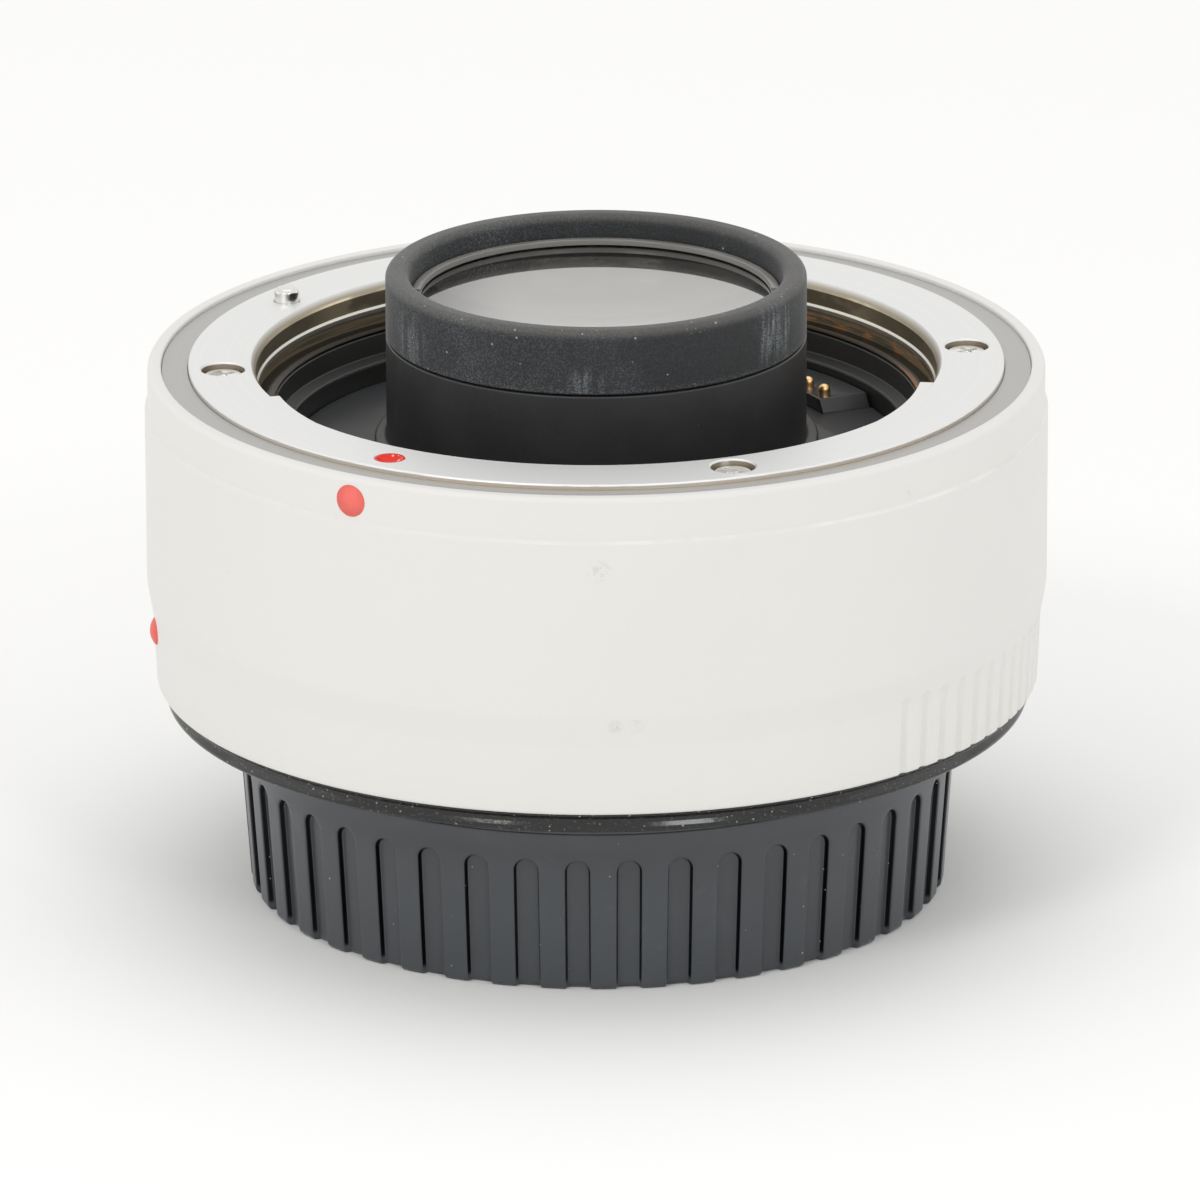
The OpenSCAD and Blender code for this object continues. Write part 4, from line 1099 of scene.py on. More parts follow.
class FormTree(Graph):
    """A Geometry Nodes tree with named sizes that turns a base mesh into a plain mesh."""

    SOCKETS = {float: "NodeSocketFloat", int: "NodeSocketInt"}

    def __init__(self, name: str, sizes: Mapping[str, Number]) -> None:
        """Makes the tree's interface.

        Args:
            name: Name of the tree.
            sizes: Named inputs and their values.
        """
        super().__init__(bpy.data.node_groups.new(name, "GeometryNodeTree"))
        face = self.tree.interface
        face.new_socket("Geometry", in_out="INPUT", socket_type="NodeSocketGeometry")
        self.sizes = dict(sizes)
        self.keys: dict[str, str] = {}
        for label, value in sizes.items():
            kind = self.SOCKETS[type(value)]
            self.keys[label] = face.new_socket(label, in_out="INPUT", socket_type=kind).identifier
        face.new_socket("Geometry", in_out="OUTPUT", socket_type="NodeSocketGeometry")
        self.entry = self.tree.nodes.new("NodeGroupInput")
        self.exit = self.tree.nodes.new("NodeGroupOutput")

    def size(self, label: str) -> Field:
        """One of the named inputs."""
        return Field(self, self.entry.outputs[label])

    def geometry(self) -> Field:
        """The base mesh."""
        return Field(self, self.entry.outputs["Geometry"])

    def position(self) -> tuple[Field, Field, Field]:
        """The coordinates of a point, in metres."""
        return self.split(self.node("GeometryNodeInputPosition"))

    def feed(self, result: Field, socket: int, parts: Iterable[Field]) -> None:
        """Links several parts into one socket of the node that gives a result."""
        for part in parts:
            self.tree.links.new(part.socket, result.socket.node.inputs[socket])

    def grow(self, base: bpy.types.Object, geometry: Field, finish: Finish) -> bpy.types.Object:
        """Ends the tree, runs it on an object and keeps the plain mesh.

        Args:
            base: The object that the tree works on.
            geometry: The tree's result.
            finish: The finish of its faces.

        Returns:
            The object with its new mesh.
        """
        real = self.node("GeometryNodeRealizeInstances", None, {0: geometry})
        sockets = {0: real, "Material": finish.material()}
        dressed = self.node("GeometryNodeSetMaterial", None, sockets)
        self.tree.links.new(dressed.socket, self.exit.inputs[0])
        modifier = base.modifiers.new(self.tree.name, "NODES")
        modifier.node_group = self.tree
        for label, key in self.keys.items():
            modifier[key] = self.sizes[label]
        return freeze(base)


# Sub-assemblies


@dataclass
class BarrelShell:
    """The white shell with its rim, creases, grip grooves and lever pocket."""

    foot_z: float = 17.2
    foot_in_r: float = 31.75
    foot_r: float = 35.3
    lower_r: float = 35.55
    lower_z: float = 23.8
    barrel_r: float = 36.0
    crease_lo_z: float = 24.6
    crease_ease: float = 0.9
    crease_hi_z: float = 39.8
    upper_r: float = 35.75
    rim_z: float = 43.2
    lip_r: float = 34.65
    seat_z: float = 40.9
    inner_r: float = 33.0
    ledge_z: float = 18.1
    groove_pitch: float = 3.6
    groove_from: float = -47.2
    groove_count: int = 57
    groove_bore: float = 0.65
    groove_depth: float = 0.2
    groove_top: float = 23.6
    groove_end: float = 0.25
    fine_step: float = 0.2
    plain_step: float = 2.0
    row_step: float = 0.22
    row_margin: float = 1.0
    column_margin: float = 2.0
    foot_fillets: Point2 = (0.1, 0.28)
    crease_fillet: float = 5.0
    step_drop: float = 0.25
    step_fillet: float = 0.12
    rim_fillets: Point2 = (0.42, 0.16)
    lock_angle: float = 147.6
    pocket_r: float = 34.6
    pocket_w: float = 9.2
    pocket_z: Point2 = (32.1, 39.9)
    pocket_corner: float = 0.7
    window_w: float = 2.8
    window_z: Point2 = (33.8, 38.2)
    window_corner: float = 0.4
    overcut: float = 2.0

    def profile(self) -> list[Point2]:
        """The shell's section, with fine rows in the groove band."""
        corners = [
            Corner(self.foot_in_r, self.foot_z, self.foot_fillets[0]),
            Corner(self.foot_r, self.foot_z, self.foot_fillets[1]),
            Corner(self.lower_r, self.lower_z - self.crease_ease, self.crease_fillet),
            Corner(self.barrel_r, self.crease_lo_z + self.crease_ease, self.crease_fillet),
            Corner(self.barrel_r, self.crease_hi_z - self.step_drop, self.step_fillet),
            Corner(self.upper_r, self.crease_hi_z, self.step_fillet),
            Corner(self.upper_r, self.rim_z, self.rim_fillets[0]),
            Corner(self.lip_r, self.rim_z, self.rim_fillets[1]),
            Corner(self.lip_r, self.seat_z),
            Corner(self.inner_r, self.seat_z),
            Corner(self.inner_r, self.ledge_z),
            Corner(self.foot_in_r, self.ledge_z),
        ]
        top = self.crease_lo_z + self.row_margin
        return subdivided(rounded(corners, 5), self.foot_z, top, self.row_step, self.lip_r)

    def arc(self) -> float:
        """Angle from the first groove to the last, in degrees."""
        return self.groove_pitch * (self.groove_count - 1)

    def columns(self) -> list[float]:
        """Angles that are fine over the grooves and coarse elsewhere."""
        first = self.groove_from - self.column_margin
        last = self.groove_from + self.arc() + self.column_margin
        fine = [first + self.fine_step * i for i in range(round((last - first) / self.fine_step))]
        rest = FULL_TURN - (last - first)
        count = round(rest / self.plain_step)
        return fine + [last + rest * i / count for i in range(count)]

    def grooves(self, shell: bpy.types.Object) -> bpy.types.Object:
        """Sinks the grip grooves into the lower band.

        Args:
            shell: The plain shell.

        Returns:
            The grooved shell.
        """
        tree = FormTree(
            "grip_grooves",
            {
                "Pitch": math.radians(self.groove_pitch),
                "First angle": math.radians(self.groove_from),
                "Arc": math.radians(self.arc()),
                "Bore": self.groove_bore * MM,
                "Depth": self.groove_depth * MM,
                "Top": self.groove_top * MM,
                "End": self.groove_end * MM,
                "Inside": self.lip_r * MM,
            },
        )
        x, y, z = tree.position()
        radius = (x * x + y * y).root()
        turn = y.angle(x)
        pitch, bore = tree.size("Pitch"), tree.size("Bore")
        along = (turn - tree.size("First angle") + pitch * 0.5).wrapped(0.0, math.tau)
        held = along < tree.size("Arc") + pitch
        across = (along.wrapped(0.0, pitch) - pitch * 0.5) * radius
        reach = ((tree.size("Top") - z) / tree.size("End")).at_least(0.0).at_most(1.0)
        depth = tree.size("Depth") * reach
        bite = (bore * bore - across * across).at_least(0.0).root() - bore + depth
        sunk = bite.at_least(0.0) * held * (radius > tree.size("Inside"))
        keep = 1.0 - sunk / radius
        sockets = {0: tree.geometry(), "Position": tree.vector(x * keep, y * keep, z)}
        return tree.grow(shell, tree.node("GeometryNodeSetPosition", None, sockets), WHITE)

    def build(self) -> None:
        """Makes and dresses the shell."""
        shell = turned("barrel_shell", self.profile(), self.columns())
        self.grooves(shell)
        pocket = radial_block(
            self.lock_angle,
            (self.pocket_r, self.barrel_r + self.overcut),
            self.pocket_z,
            self.pocket_w,
            self.pocket_corner,
        )
        window = radial_block(
            self.lock_angle,
            (self.inner_r - self.overcut, self.pocket_r + self.overcut / 2),
            self.window_z,
            self.window_w,
            self.window_corner,
        )
        cut_away(shell, mesh_object("pocket", pocket), mesh_object("window", window))
        dress(smooth(shell, 32.0), WHITE, Body.BARREL, "white_paint", "outer_barrel")


@dataclass
class LensMount:
    """The steel mount ring with its tabs and screws, and the grey face ring round it."""

    lens_z: float = 43.3
    seat_z: float = 40.9
    outer_r: float = 32.5
    throat_r: float = 27.1
    chamfer: Point2 = (0.4, 0.7)
    lip_z: float = 41.4
    lip_w: float = 0.16
    tab_r: float = 25.9
    tab_z: Point2 = (41.15, 42.4)
    tab_root: float = 0.2
    tab_fillets: Point2 = (0.15, 0.12)
    tab_steps: int = 52
    tab_angles: tuple[float, ...] = (88.0, 221.0, 326.0)
    tab_arc: float = 52.0
    index: float = 237.8
    near_spread: float = 53.0
    far_spread: float = 128.3
    screw_r: float = 29.75
    bore_r: float = 1.75
    bore_h: float = 1.1
    bore_edge: float = 0.12
    shank_r: float = 0.95
    head_r: float = 1.55
    head_h: float = 0.64
    head_sink: float = 0.44
    slot_w: float = 0.44
    slot_l: float = 2.0
    slot_h: float = 0.24
    slot_turn: float = 25.0
    dimple_r: float = 30.15
    dimple_bore: float = 1.2
    dimple_h: float = 0.8
    dimple_edge: float = 0.05
    pin_r: float = 29.6
    pin_bore: float = 1.03
    pin_edge: float = 0.08
    pin_angle: float = 147.6
    face_r: Point2 = (32.53, 34.62)
    face_z: float = 42.9
    face_fillet: float = 0.05
    overcut: float = 0.5
    segments: int = 360

    def screw_angles(self) -> list[float]:
        """Angles of the four screws."""
        spreads = (self.near_spread, self.far_spread)
        return [self.index + side * spread for spread in spreads for side in (-1, 1)]

    def hole(self, radius: float, floor: float, edge: float) -> list[Point2]:
        """The section of a bore with a broken edge.

        Args:
            radius: Its radius.
            floor: Height of its floor.
            edge: Width of the broken edge.

        Returns:
            Points of radius and height, from the axis to the axis.
        """
        top, past = self.lens_z, self.lens_z + self.overcut
        wide = radius + (edge + self.overcut)
        return [(0, floor), (radius, floor), (radius, top - edge), (wide, past), (0, past)]

    def ring(self) -> bpy.types.Object:
        """The mount ring with its bores cut."""
        wide, high = self.chamfer
        corners = [
            Corner(self.throat_r - self.lip_w, self.seat_z),
            Corner(self.outer_r, self.seat_z),
            Corner(self.outer_r, self.lens_z, 0.17),
            Corner(self.throat_r + wide, self.lens_z, 0.08),
            Corner(self.throat_r, self.lens_z - high, 0.1),
            Corner(self.throat_r, self.lip_z, 0.03),
            Corner(self.throat_r - self.lip_w, self.lip_z - self.lip_w, 0.08),
        ]
        ring = turned("mount_ring", rounded(corners, 3), even_turn(self.segments))
        bores = bmesh.new()
        low, floor = self.seat_z - self.overcut, self.lens_z - self.bore_h
        shank = [(0, low), (self.shank_r, low), (self.shank_r, floor)]
        head = self.hole(self.bore_r, floor, self.bore_edge)[1:]
        for angle in self.screw_angles():
            drill(bores, self.screw_r, angle, shank + head)
        sink = self.lens_z - self.dimple_h
        drill(bores, self.dimple_r, self.index, self.hole(self.dimple_bore, sink, self.dimple_edge))
        drill(bores, self.pin_r, self.pin_angle, self.hole(self.pin_bore, low, self.pin_edge))
        return smooth(cut_away(ring, mesh_object("bores", bores)), 30.0)

    def tabs(self) -> bpy.types.Object:
        """The three bayonet tabs under the ring."""
        (low, high), root = self.tab_z, self.throat_r + self.tab_root
        corners = [
            Corner(self.tab_r, low, self.tab_fillets[0]),
            Corner(root, low),
            Corner(root, high),
            Corner(self.tab_r, high, self.tab_fillets[1]),
        ]
        shape, half = bmesh.new(), self.tab_arc / 2
        for angle in self.tab_angles:
            swept_arc(shape, rounded(corners, 3), angle - half, angle + half, self.tab_steps)
        return smooth(mesh_object("bayonet_tabs", shape), 40.0)

    def screws(self) -> bpy.types.Object:
        """The four screws, each a chamfered head with a cross recess."""
        base = new_object("mount_screws", bpy.data.meshes.new("mount_screws"))
        tree = FormTree(
            "mount_screws",
            {
                "Index angle": math.radians(self.index),
                "Near spread": math.radians(self.near_spread),
                "Far spread": math.radians(self.far_spread),
                "Circle": self.screw_r * MM,
                "Top": (self.lens_z - self.head_sink) * MM,
                "Head radius": self.head_r * MM,
                "Head height": self.head_h * MM,
                "Slot width": self.slot_w * MM,
                "Slot length": self.slot_l * MM,
                "Slot depth": self.slot_h * MM,
                "Slot turn": math.radians(self.slot_turn),
            },
        )
        radius, height = tree.size("Head radius"), tree.size("Head height")
        edge = height * 0.22
        cones = ((radius, height - edge, height), (radius - edge, edge, edge))
        parts = [self.cone(tree, radius, *sizes) for sizes in cones]
        solid = tree.node("GeometryNodeJoinGeometry")
        tree.feed(solid, 0, parts)
        merged = tree.node("GeometryNodeMergeByDistance", None, {0: solid, "Distance": WELD})
        depth = tree.size("Slot depth")
        long_way = tree.vector(tree.size("Slot length"), tree.size("Slot width"), depth * 2.0)
        bar = tree.node("GeometryNodeMeshCube", None, {"Size": long_way})
        crossing = {0: bar, "Rotation": (0.0, 0.0, math.pi / 2)}
        across = tree.node("GeometryNodeTransform", None, crossing)
        ball = {"Radius": depth * 1.35, "Subdivisions": 3}
        pip = tree.node("GeometryNodeMeshIcoSphere", None, ball)
        slots = {"operation": "DIFFERENCE", "solver": "EXACT"}
        cut = tree.node("GeometryNodeMeshBoolean", slots, {0: merged})
        tree.feed(cut, 1, (bar, across, pip))
        count = len(self.screw_angles())
        points = tree.node("GeometryNodePoints", None, {"Count": count})
        number = tree.node("GeometryNodeInputIndex")
        side = tree.node("ShaderNodeMath", {"operation": "MODULO"}, {0: number, 1: 2.0}) * 2.0 - 1.0
        far = number > 1.5
        spread = tree.size("Near spread") * (1.0 - far) + tree.size("Far spread") * far
        angle = tree.size("Index angle") + side * spread
        cosine = tree.node("ShaderNodeMath", {"operation": "COSINE"}, {0: angle})
        sine = tree.node("ShaderNodeMath", {"operation": "SINE"}, {0: angle})
        circle = tree.size("Circle")
        place = tree.vector(circle * cosine, circle * sine, tree.size("Top"))
        placed = tree.node("GeometryNodeSetPosition", None, {0: points, "Position": place})
        turn = tree.vector(0.0, 0.0, angle + tree.size("Slot turn"))
        sockets = {"Points": placed, "Instance": cut, "Rotation": turn}
        set_out = tree.node("GeometryNodeInstanceOnPoints", None, sockets)
        return smooth(tree.grow(base, set_out, SCREW_STEEL), 30.0)

    @staticmethod
    def cone(tree: FormTree, bottom: Field, top: Field, high: Field, drop: Field) -> Field:
        """One upright cone of a screw's head.

        Args:
            tree: The tree that it goes into.
            bottom: Radius at its foot.
            top: Radius at its top.
            high: Its height.
            drop: How far its foot lies below the head's top.

        Returns:
            The cone.
        """
        sizes = {"Radius Top": top, "Radius Bottom": bottom, "Depth": high}
        sizes.update({"Vertices": BORE_SIDES, "Side Segments": 1, "Fill Segments": 1})
        made = tree.node("GeometryNodeMeshCone", None, sizes)
        sockets = {0: made, "Translation": tree.vector(0.0, 0.0, 0.0 - drop)}
        return tree.node("GeometryNodeTransform", None, sockets)

    def build(self) -> None:
        """Makes and dresses the mount."""
        dress(self.ring(), MOUNT_STEEL, Body.BARREL, "mount_steel", "front_mount_ring")
        dress(self.tabs(), TAB_STEEL, Body.BARREL, "mount_steel", "front_mount_ring")
        dress(self.screws(), SCREW_STEEL, Body.BARREL, "screw_steel", "front_mount_screws")
        inner, outer = self.face_r
        corners = [
            Corner(inner, self.seat_z),
            Corner(outer, self.seat_z),
            Corner(outer, self.face_z, self.face_fillet),
            Corner(inner, self.face_z, self.face_fillet),
        ]
        face = turned("face_ring_grey", rounded(corners, 3), even_turn(self.segments))
        dress(smooth(face, 40.0), GREY_RING, Body.BARREL, "grey_ring", "face_ring")


@dataclass
class FrontBarrel:
    """The black front tube, its rubber collar and the front glass."""

    cell_r: float = 15.1
    web_z: float = 32.4
    cell_top: float = 39.3
    tube_r: float = 16.75
    floor_z: float = 36.0
    foot_w: float = 0.95
    foot_h: float = 1.1
    shoulder_z: float = 45.4
    neck_r: float = 15.45
    bore_r: float = 14.65
    neck_top: float = 48.7
    collar_z: float = 45.55
    collar_top: float = 50.75
    collar_in: float = 15.55
    lip_in: float = 14.9
    lip_round: float = 0.6
    glass_r: float = 14.55
    vertex_z: float = 47.6
    curve_front: float = 128.04
    curve_back: float = 45.98
    thickness: float = 5.233
    glass_rings: int = 40
    glass_columns: int = 192
    foot_fillets: Point2 = (0.25, 0.3)
    shoulder_fillet: float = 0.14
    neck_fillet: float = 0.1
    segments: int = 288

    def tube(self) -> bpy.types.Object:
        """The tube with its foot flange and neck."""
        out = self.tube_r + self.foot_w
        flange = self.floor_z + self.foot_h
        corners = [
            Corner(self.cell_r, self.web_z),
            Corner(self.tube_r, self.web_z),
            Corner(self.tube_r, self.floor_z),
            Corner(out, self.floor_z),
            Corner(out, flange, self.foot_fillets[0]),
            Corner(self.tube_r, flange, self.foot_fillets[1]),
            Corner(self.tube_r, self.shoulder_z, self.shoulder_fillet),
            Corner(self.neck_r, self.shoulder_z),
            Corner(self.neck_r, self.neck_top),
            Corner(self.bore_r, self.neck_top, self.neck_fillet),
            Corner(self.bore_r, self.cell_top),
            Corner(self.cell_r, self.cell_top),
        ]
        tube = turned("front_barrel_tube", rounded(corners, 4), even_turn(self.segments))
        return smooth(tube, 40.0)

    def collar(self) -> bpy.types.Object:
        """The soft collar with its rounded lip."""
        corners = [
            Corner(self.collar_in, self.collar_z),
            Corner(self.tube_r, self.collar_z, self.shoulder_fillet),
            Corner(self.tube_r, self.collar_top, self.lip_round),
            Corner(self.lip_in, self.collar_top, self.lip_round),
            Corner(self.lip_in, self.neck_top),
            Corner(self.collar_in, self.neck_top),
        ]
        return smooth(turned("collar_soft", rounded(corners, 8), even_turn(self.segments)), 40.0)

    def glass(self) -> bpy.types.Object:
        """The front element, hollow in front and round behind."""
        rings = self.glass_rings
        back_z = self.vertex_z - self.thickness
        radii = [self.glass_r * i / rings for i in range(rings + 1)]
        front = [(r, self.vertex_z + sag(self.curve_front, r)) for r in radii]
        back = [(r, back_z + sag(self.curve_back, r)) for r in reversed(radii)]
        glass = turned("front_element", front + back, even_turn(self.glass_columns))
        return smooth(glass, 30.0)

    def build(self) -> None:
        """Makes and dresses the front barrel."""
        dress(self.tube(), TUBE_BLACK, Body.BARREL, "black_metal", "front_tube")
        dress(self.collar(), COLLAR_RUBBER, Body.BARREL, "rubber", "rubber_collar")
        dress(self.glass(), FRONT_GLASS, Body.BARREL, "glass", "element_1")


def sag(curve: float, r: float) -> float:
    """Depth of a spherical face of a given curvature at a radius."""
    return curve - math.sqrt(curve * curve - r * r)


@dataclass
class Seal:
    """The rubber seal under the shell."""

    inner_r: float = 31.65
    outer_r: float = 35.0
    top_z: float = 17.2
    web: float = 0.9
    tip_r: float = 34.1
    tip_z: float = 15.4
    tip_w: float = 0.5
    waist_r: float = 34.2
    waist_z: float = 16.5
    waist_fillet: float = 0.6
    skirt_in: float = 0.2
    shoulder_in: float = 0.3
    bead: Point2 = (0.1, 0.3)
    fillet: float = 0.2
    segments: int = 288

    def build(self) -> None:
        """Makes and dresses the seal."""
        top, web, soft = self.top_z, self.web, self.fillet
        wide, high = self.bead
        corners = [
            Corner(self.inner_r, top - web, soft / 2),
            Corner(self.inner_r, top),
            Corner(self.outer_r - self.skirt_in, top),
            Corner(self.outer_r - self.shoulder_in, top - web / 3, soft),
            Corner(self.waist_r, self.waist_z, self.waist_fillet),
            Corner(self.tip_r + self.tip_w + wide, self.tip_z + high, high),
            Corner(self.tip_r, self.tip_z, soft),
            Corner(self.tip_r - self.tip_w / 2, self.tip_z, soft),
            Corner(self.outer_r - 2 * web, top - web, soft),
        ]
        seal = turned("weather_seal", rounded(corners, 5), even_turn(self.segments))
        dress(smooth(seal, 50.0), SEAL, Body.BARREL, "seal_rubber", "rear_gasket")


@dataclass
class RearCap:
    """The black cap: one slice with one grip groove, set out round the axis."""

    base_r: float = 27.95
    edge: float = 0.5
    height: float = 16.0
    draft: float = 4.0
    inner_r: float = 26.75
    floor_t: float = 2.0
    recess_r: float = 20.0
    recess_h: float = 0.4
    recess_edge: float = 0.1
    rim: tuple[Point2, ...] = ((0.01, 0.2), (0.06, 0.06), (0.2, 0.0))
    inner_edge: float = 0.2
    floor_edge: float = 0.5
    count: int = 44
    phase: float = 270.9
    groove_w: float = 2.1
    groove_top: float = 11.1
    groove_depth: float = 0.5
    shoulder: float = 1.0
    line_z: float = 13.3
    line_depth: float = 0.1
    line_half: float = 0.15
    arc_steps: int = 16
    steps: tuple[Point2, ...] = (
        (-0.34, 1.0),
        (-0.22, 1.0),
        (-0.17, 0.92),
        (-0.11, 0.5),
        (-0.05, 0.08),
        (0.02, 0.0),
        (0.3, 0.0),
    )

    def wall(self, z: float) -> float:
        """Radius of the cap's side at a height."""
        return self.base_r + (z - self.edge) * math.tan(math.radians(self.draft))

    def half(self) -> float:
        """Half the angle of a slice, in radians."""
        return math.pi / self.count

    def outline(self, offset: float, depth: float) -> list[Vector]:
        """Points of a line that runs up one side of the groove, over its top and down again.

        Args:
            offset: Distance outwards from the groove's edge.
            depth: Share of the groove's depth.

        Returns:
            Points in millimetres.
        """
        radius = self.groove_w / 2 + offset
        middle = self.groove_top - self.groove_w / 2
        flat = [(-radius, z) for z in self.rows(middle)]
        for k in range(1, self.arc_steps):
            turn = math.pi * (1 - k / self.arc_steps)
            flat.append((radius * math.cos(turn), middle + radius * math.sin(turn)))
        flat += [(radius, z) for z in reversed(self.rows(middle))]
        return [self.seat(s / self.wall(z), z, depth) for s, z in flat]

    def rows(self, middle: float) -> list[float]:
        """Heights of the straight part of the groove."""
        return [self.edge, middle / 3, middle * 2 / 3, middle]

    def seat(self, angle: float, z: float, depth: float) -> Vector:
        """A point on the cap's side, sunk by a share of the groove's depth."""
        r = self.wall(z) - depth * self.groove_depth
        return Vector((r * math.cos(angle), r * math.sin(angle), z))

    def border(self) -> list[Vector]:
        """The slice's own edge, point for point with an outline."""
        middle = self.groove_top - self.groove_w / 2
        top, half, quarter = self.groove_top + self.shoulder, self.half(), self.arc_steps // 4
        places = [(-half, z) for z in self.rows(middle)]
        for k in range(1, self.arc_steps):
            if k <= quarter:
                places.append((-half, middle + (top - middle) * k / quarter))
            elif k < 3 * quarter:
                places.append((half * (k - 2 * quarter) / quarter, top))
            else:
                places.append((half, middle + (top - middle) * (self.arc_steps - k) / quarter))
        places += [(half, z) for z in reversed(self.rows(middle))]
        return [self.seat(angle, z, 0.0) for angle, z in places]

    def below(self, foot: Vector) -> list[Vector]:
        """Points that carry a column round the base edge and in under the cap."""
        angle, r = math.atan2(foot.y, foot.x), math.hypot(foot.x, foot.y)
        turns = [math.pi / 2 * k / 4 for k in range(1, 5)]
        path = [(r - self.edge * (1 - math.cos(t)), self.edge * (1 - math.sin(t))) for t in turns]
        recess, edge = self.recess_r, self.recess_edge
        path += [(recess + edge, 0.0), (recess, edge), (recess, self.recess_h)]
        return [Vector((q * math.cos(angle), q * math.sin(angle), z)) for q, z in path]

    def above(self, head: Vector) -> list[Vector]:
        """Points that carry a column over the rim and down to the cap's floor."""
        angle = math.atan2(head.y, head.x)
        top, line = self.height, self.line_z
        low, high = line - self.line_half, line + self.line_half
        path = [(self.wall(low), low)]
        path += [(self.wall(line) - self.line_depth, line), (self.wall(high), high)]
        path += [(self.wall(top) - inwards, top - down) for inwards, down in self.rim]
        inner, edge, foot = self.inner_r, self.inner_edge, self.floor_edge
        path += [(inner + edge, top), (inner, top - edge)]
        path += [(inner, self.floor_t + foot), (inner - foot, self.floor_t)]
        return [Vector((q * math.cos(angle), q * math.sin(angle), z)) for q, z in path]

    def slice(self) -> bpy.types.Object:
        """One slice of the cap round one groove."""
        shape = bmesh.new()
        lines = [self.outline(*step) for step in self.steps] + [self.border()]
        grid = [[shape.verts.new(p * MM) for p in line] for line in lines]
        size = len(grid[0])
        for inner, outer in zip(grid, grid[1:]):
            for i in range(size - 1):
                shape.faces.new((inner[i], inner[i + 1], outer[i + 1], outer[i]))
        straight = len(self.rows(1.0))
        floor = grid[0]
        for i in range(straight - 1):
            shape.faces.new((floor[i], floor[i + 1], floor[size - 2 - i], floor[size - 1 - i]))
        shape.faces.new(floor[straight - 1 : size - straight + 1])
        feet = [line[0] for line in reversed(grid)] + [line[-1] for line in grid]
        self.strips(shape, feet, self.below, Vector((0, 0, self.recess_h)))
        quarter = self.arc_steps // 4
        first = straight - 1 + quarter
        heads = grid[-1][first : first + 2 * quarter + 1]
        self.strips(shape, heads, self.above, Vector((0, 0, self.floor_t)))
        return mesh_object("cap_shell", shape)

    @staticmethod
    def strips(
        shape: bmesh.types.BMesh,
        edge: Sequence[bmesh.types.BMVert],
        path: Callable[[Vector], list[Vector]],
        centre: Vector,
    ) -> None:
        """Carries a row of points along a path and closes it on the axis.

        Args:
            shape: The shape that it goes into.
            edge: The row of points to start from.
            path: Gives the path of one point, in millimetres.
            centre: The point on the axis.
        """
        columns = [[vert] + [shape.verts.new(p * MM) for p in path(vert.co / MM)] for vert in edge]
        hub = shape.verts.new(centre * MM)
        for left, right in zip(columns, columns[1:]):
            for k in range(len(left) - 1):
                shape.faces.new((left[k], right[k], right[k + 1], left[k + 1]))
            shape.faces.new((left[-1], right[-1], hub))

    def build(self) -> None:
        """Sets the slices out and dresses the cap."""
        piece = self.slice()
        first = math.radians(self.phase) + self.half()
        tree = FormTree("cap_slices", {"Count": self.count, "First angle": first})
        number = tree.node("GeometryNodeInputIndex")
        points = tree.node("GeometryNodePoints", None, {"Count": tree.size("Count")})
        angle = tree.size("First angle") + number * math.tau / tree.size("Count")
        turn = tree.vector(0.0, 0.0, angle)
        sockets = {"Points": points, "Instance": tree.geometry(), "Rotation": turn}
        round_about = tree.node("GeometryNodeInstanceOnPoints", None, sockets)
        real = tree.node("GeometryNodeRealizeInstances", None, {0: round_about})
        whole = tree.node("GeometryNodeMergeByDistance", None, {0: real, "Distance": 2 * WELD})
        cap = tree.grow(piece, whole, CAP_PLASTIC)
        dress(smooth(cap, 55.0), CAP_PLASTIC, Body.CAP, "cap_plastic", "rear_cap")


@dataclass
class CarriedSolids:
    """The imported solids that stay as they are: soft edges and a finish for each."""

    bevel: Mapping[str, float] = field(
        default_factory=lambda: {
            "front_liner": 0.1,
            "well_floor": 0.06,
            "contact_block": 0.12,
            "release_lever": 0.22,
            "lock_pin": 0.06,
            "front_retaining_ring": 0.06,
            "lever_screw": 0.06,
        }
    )
    flat_angle: float = 0.6
    edge_angle: float = 35.0

    def build(self, nodes: Mapping[str, bpy.types.Object]) -> None:
        """Dresses each solid.

        Args:
            nodes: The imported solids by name.
        """
        for name, finish in NODE_FINISHES.items():
            node = nodes[name]
            node.data.materials.clear()
            node.data.materials.append(finish.material())
            self.soften(node, self.bevel.get(name, 0.0))
            LOG.info("%s: %s", name, finish.name)

    def soften(self, node: bpy.types.Object, width: float) -> None:
        """Welds a solid's loose triangles and rounds its edges.

        Args:
            node: The solid, whose own mesh stays.
            width: Width of the rounded edges in millimetres, or zero.
        """
        node.data.polygons.foreach_set("use_smooth", [True] * len(node.data.polygons))
        weld = node.modifiers.new("weld", "WELD")
        weld.merge_threshold = WELD
        if width:
            flat = node.modifiers.new("flat", "DECIMATE")
            flat.decimate_type = "DISSOLVE"
            flat.angle_limit = math.radians(self.flat_angle)
            bevel = node.modifiers.new("edges", "BEVEL")
            bevel.width = width * MM
            bevel.segments = 2
            bevel.limit_method = "ANGLE"
            bevel.angle_limit = math.radians(self.edge_angle)


@dataclass(frozen=True)
class Lamp:
    """A square soft light: place and side in metres, power in watts, and tint."""

    name: str
    place: tuple[float, float, float]
    side: float
    power: float
    tint: Colour = (1.0, 1.0, 1.0)


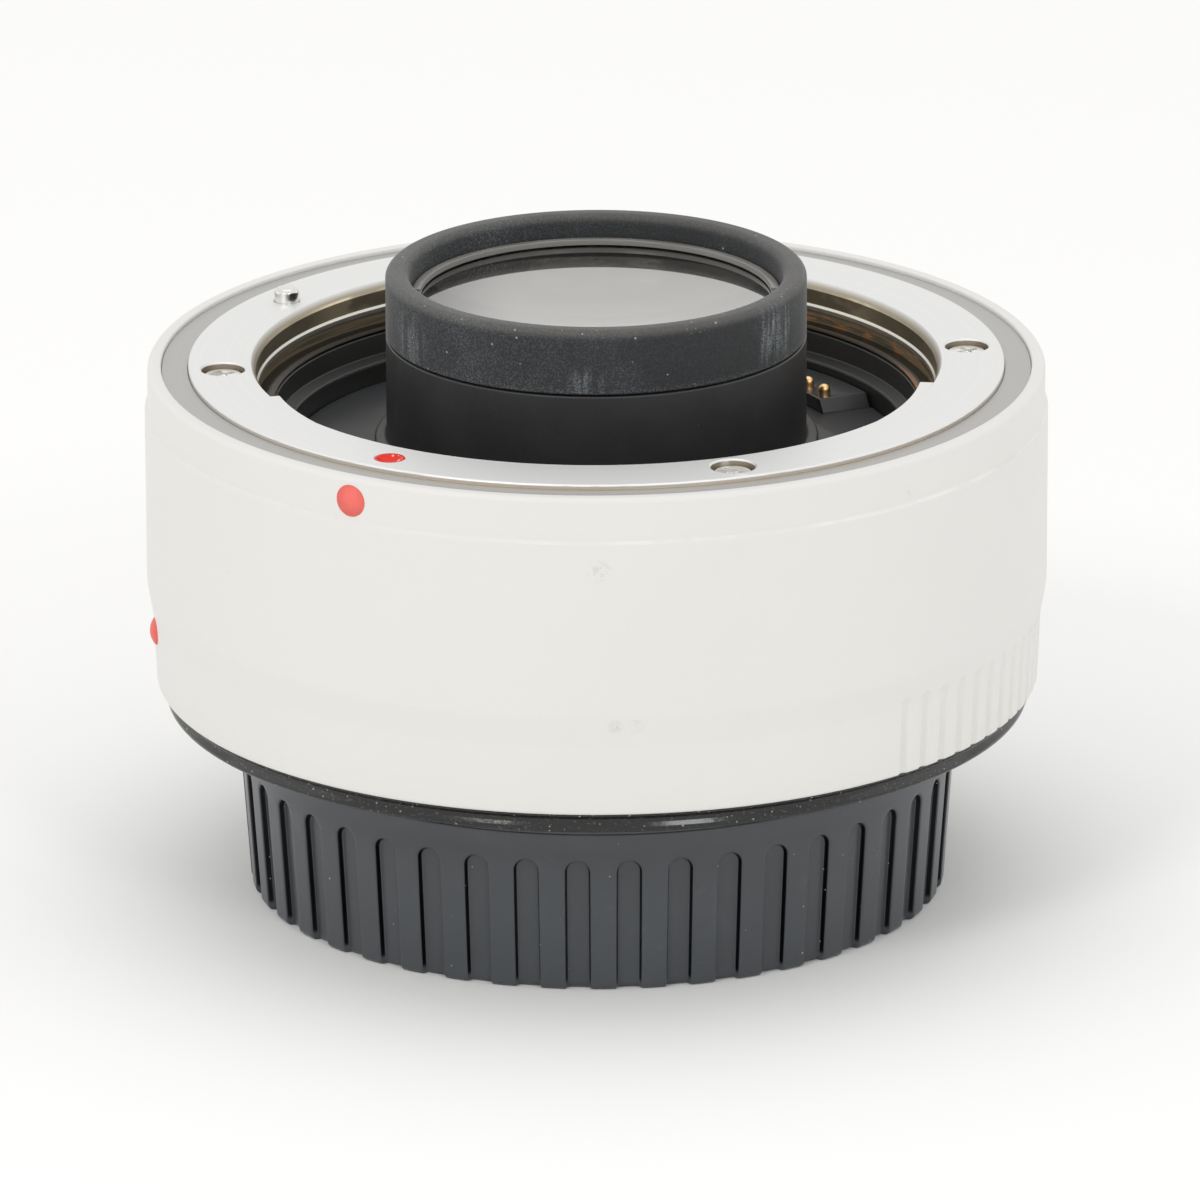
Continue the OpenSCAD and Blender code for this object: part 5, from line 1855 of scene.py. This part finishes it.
@dataclass
class Studio:
    """The floor, soft lights, white surround and camera."""

    aim: tuple[float, float, float] = (0.0, 0.0, 0.023)
    distance: float = 1.0
    elevation: float = 18.61
    lens: float = 374.3
    sensor: float = 36.0
    shift_x: float = 0.0025
    roll: float = -0.17
    floor_half: float = 6.0
    floor_tones: tuple[Colour, Colour] = ((0.96, 0.96, 0.955), (0.95, 0.95, 0.945))
    surround: float = 0.8
    lamps: tuple[Lamp, ...] = (
        Lamp("key", (-0.5, -0.77, 0.8), 0.28, 2.2, (1.0, 0.985, 0.96)),
        Lamp("fill", (0.45, -0.95, 0.7), 0.25, 1.4, (0.97, 0.985, 1.0)),
        Lamp("top", (0.0, 0.25, 1.1), 0.8, 1.3),
        Lamp("left", (-1.1, 0.05, 0.3), 0.8, 0.8),
        Lamp("right", (1.1, 0.05, 0.3), 0.8, 0.8),
    )

    def floor(self) -> None:
        """A plain pale floor that keeps the shadow."""
        half = self.floor_half
        mesh = bpy.data.meshes.new("floor")
        corners = [(-half, -half, 0), (half, -half, 0), (half, half, 0), (-half, half, 0)]
        mesh.from_pydata(corners, [], [(0, 1, 2, 3)])
        floor = new_object("floor", mesh)
        surface = Surface("floor_pale")
        tone = surface.mix(surface.noise(0.002, 2.0) * 0.2, *self.floor_tones)
        surface.set(Base_Color=tone, Roughness=0.9, Specular_IOR_Level=0.1)
        mesh.materials.append(surface.material)

    def world(self) -> None:
        """A white surround that lights softly and shows white in metal and glass."""
        world = bpy.data.worlds.new("surround")
        world.use_nodes = True
        graph = Graph(world.node_tree)
        seen = graph.node("ShaderNodeLightPath", output="Is Camera Ray")
        for ray in ("Is Glossy Ray", "Is Transmission Ray"):
            seen = seen.at_least(graph.node("ShaderNodeLightPath", output=ray))
        strength = self.surround + seen * (1.0 - self.surround)
        sockets = {"Color": (1.0, 0.995, 0.985, 1.0), "Strength": strength}
        back = graph.node("ShaderNodeBackground", None, sockets)
        out = world.node_tree.nodes.new("ShaderNodeOutputWorld")
        world.node_tree.links.new(back.socket, out.inputs[0])
        bpy.context.scene.world = world

    def lamp(self, lamp: Lamp) -> None:
        """Adds a lamp that faces the object."""
        data = bpy.data.lights.new(lamp.name, "AREA")
        data.size = lamp.side
        data.energy = lamp.power
        data.color = lamp.tint
        made = bpy.data.objects.new(lamp.name, data)
        bpy.context.scene.collection.objects.link(made)
        made.location = lamp.place
        towards = Vector(self.aim) - made.location
        made.rotation_euler = towards.to_track_quat("-Z", "Y").to_euler()

    def camera(self) -> None:
        """The camera, on the front side and a little above."""
        data = bpy.data.cameras.new("camera")
        data.lens = self.lens
        data.sensor_width = self.sensor
        data.sensor_fit = "HORIZONTAL"
        data.shift_x = self.shift_x
        data.clip_start = 0.05
        camera = bpy.data.objects.new("camera", data)
        bpy.context.scene.collection.objects.link(camera)
        tilt = math.radians(self.elevation)
        aim = Vector(self.aim)
        camera.location = aim + Vector((0, -math.cos(tilt), math.sin(tilt))) * self.distance
        look = (aim - camera.location).to_track_quat("-Z", "Y").to_matrix().to_4x4()
        turned_look = look @ Matrix.Rotation(math.radians(self.roll), 4, "Z")
        camera.rotation_euler = turned_look.to_euler()
        bpy.context.scene.camera = camera

    def build(self) -> None:
        """Sets up the stage."""
        bpy.context.scene.view_settings.view_transform = "Standard"
        self.floor()
        self.world()
        for lamp in self.lamps:
            self.lamp(lamp)
        self.camera()


def main() -> None:
    """Loads the frame, builds every sub-assembly and the studio."""
    logging.basicConfig(level=logging.INFO, format="%(name)s %(message)s")
    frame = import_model()
    CarriedSolids().build(frame["nodes"])
    for part in (BarrelShell(), LensMount(), FrontBarrel(), Seal(), RearCap(), Studio()):
        part.build()


if __name__ == "__main__":
    main()
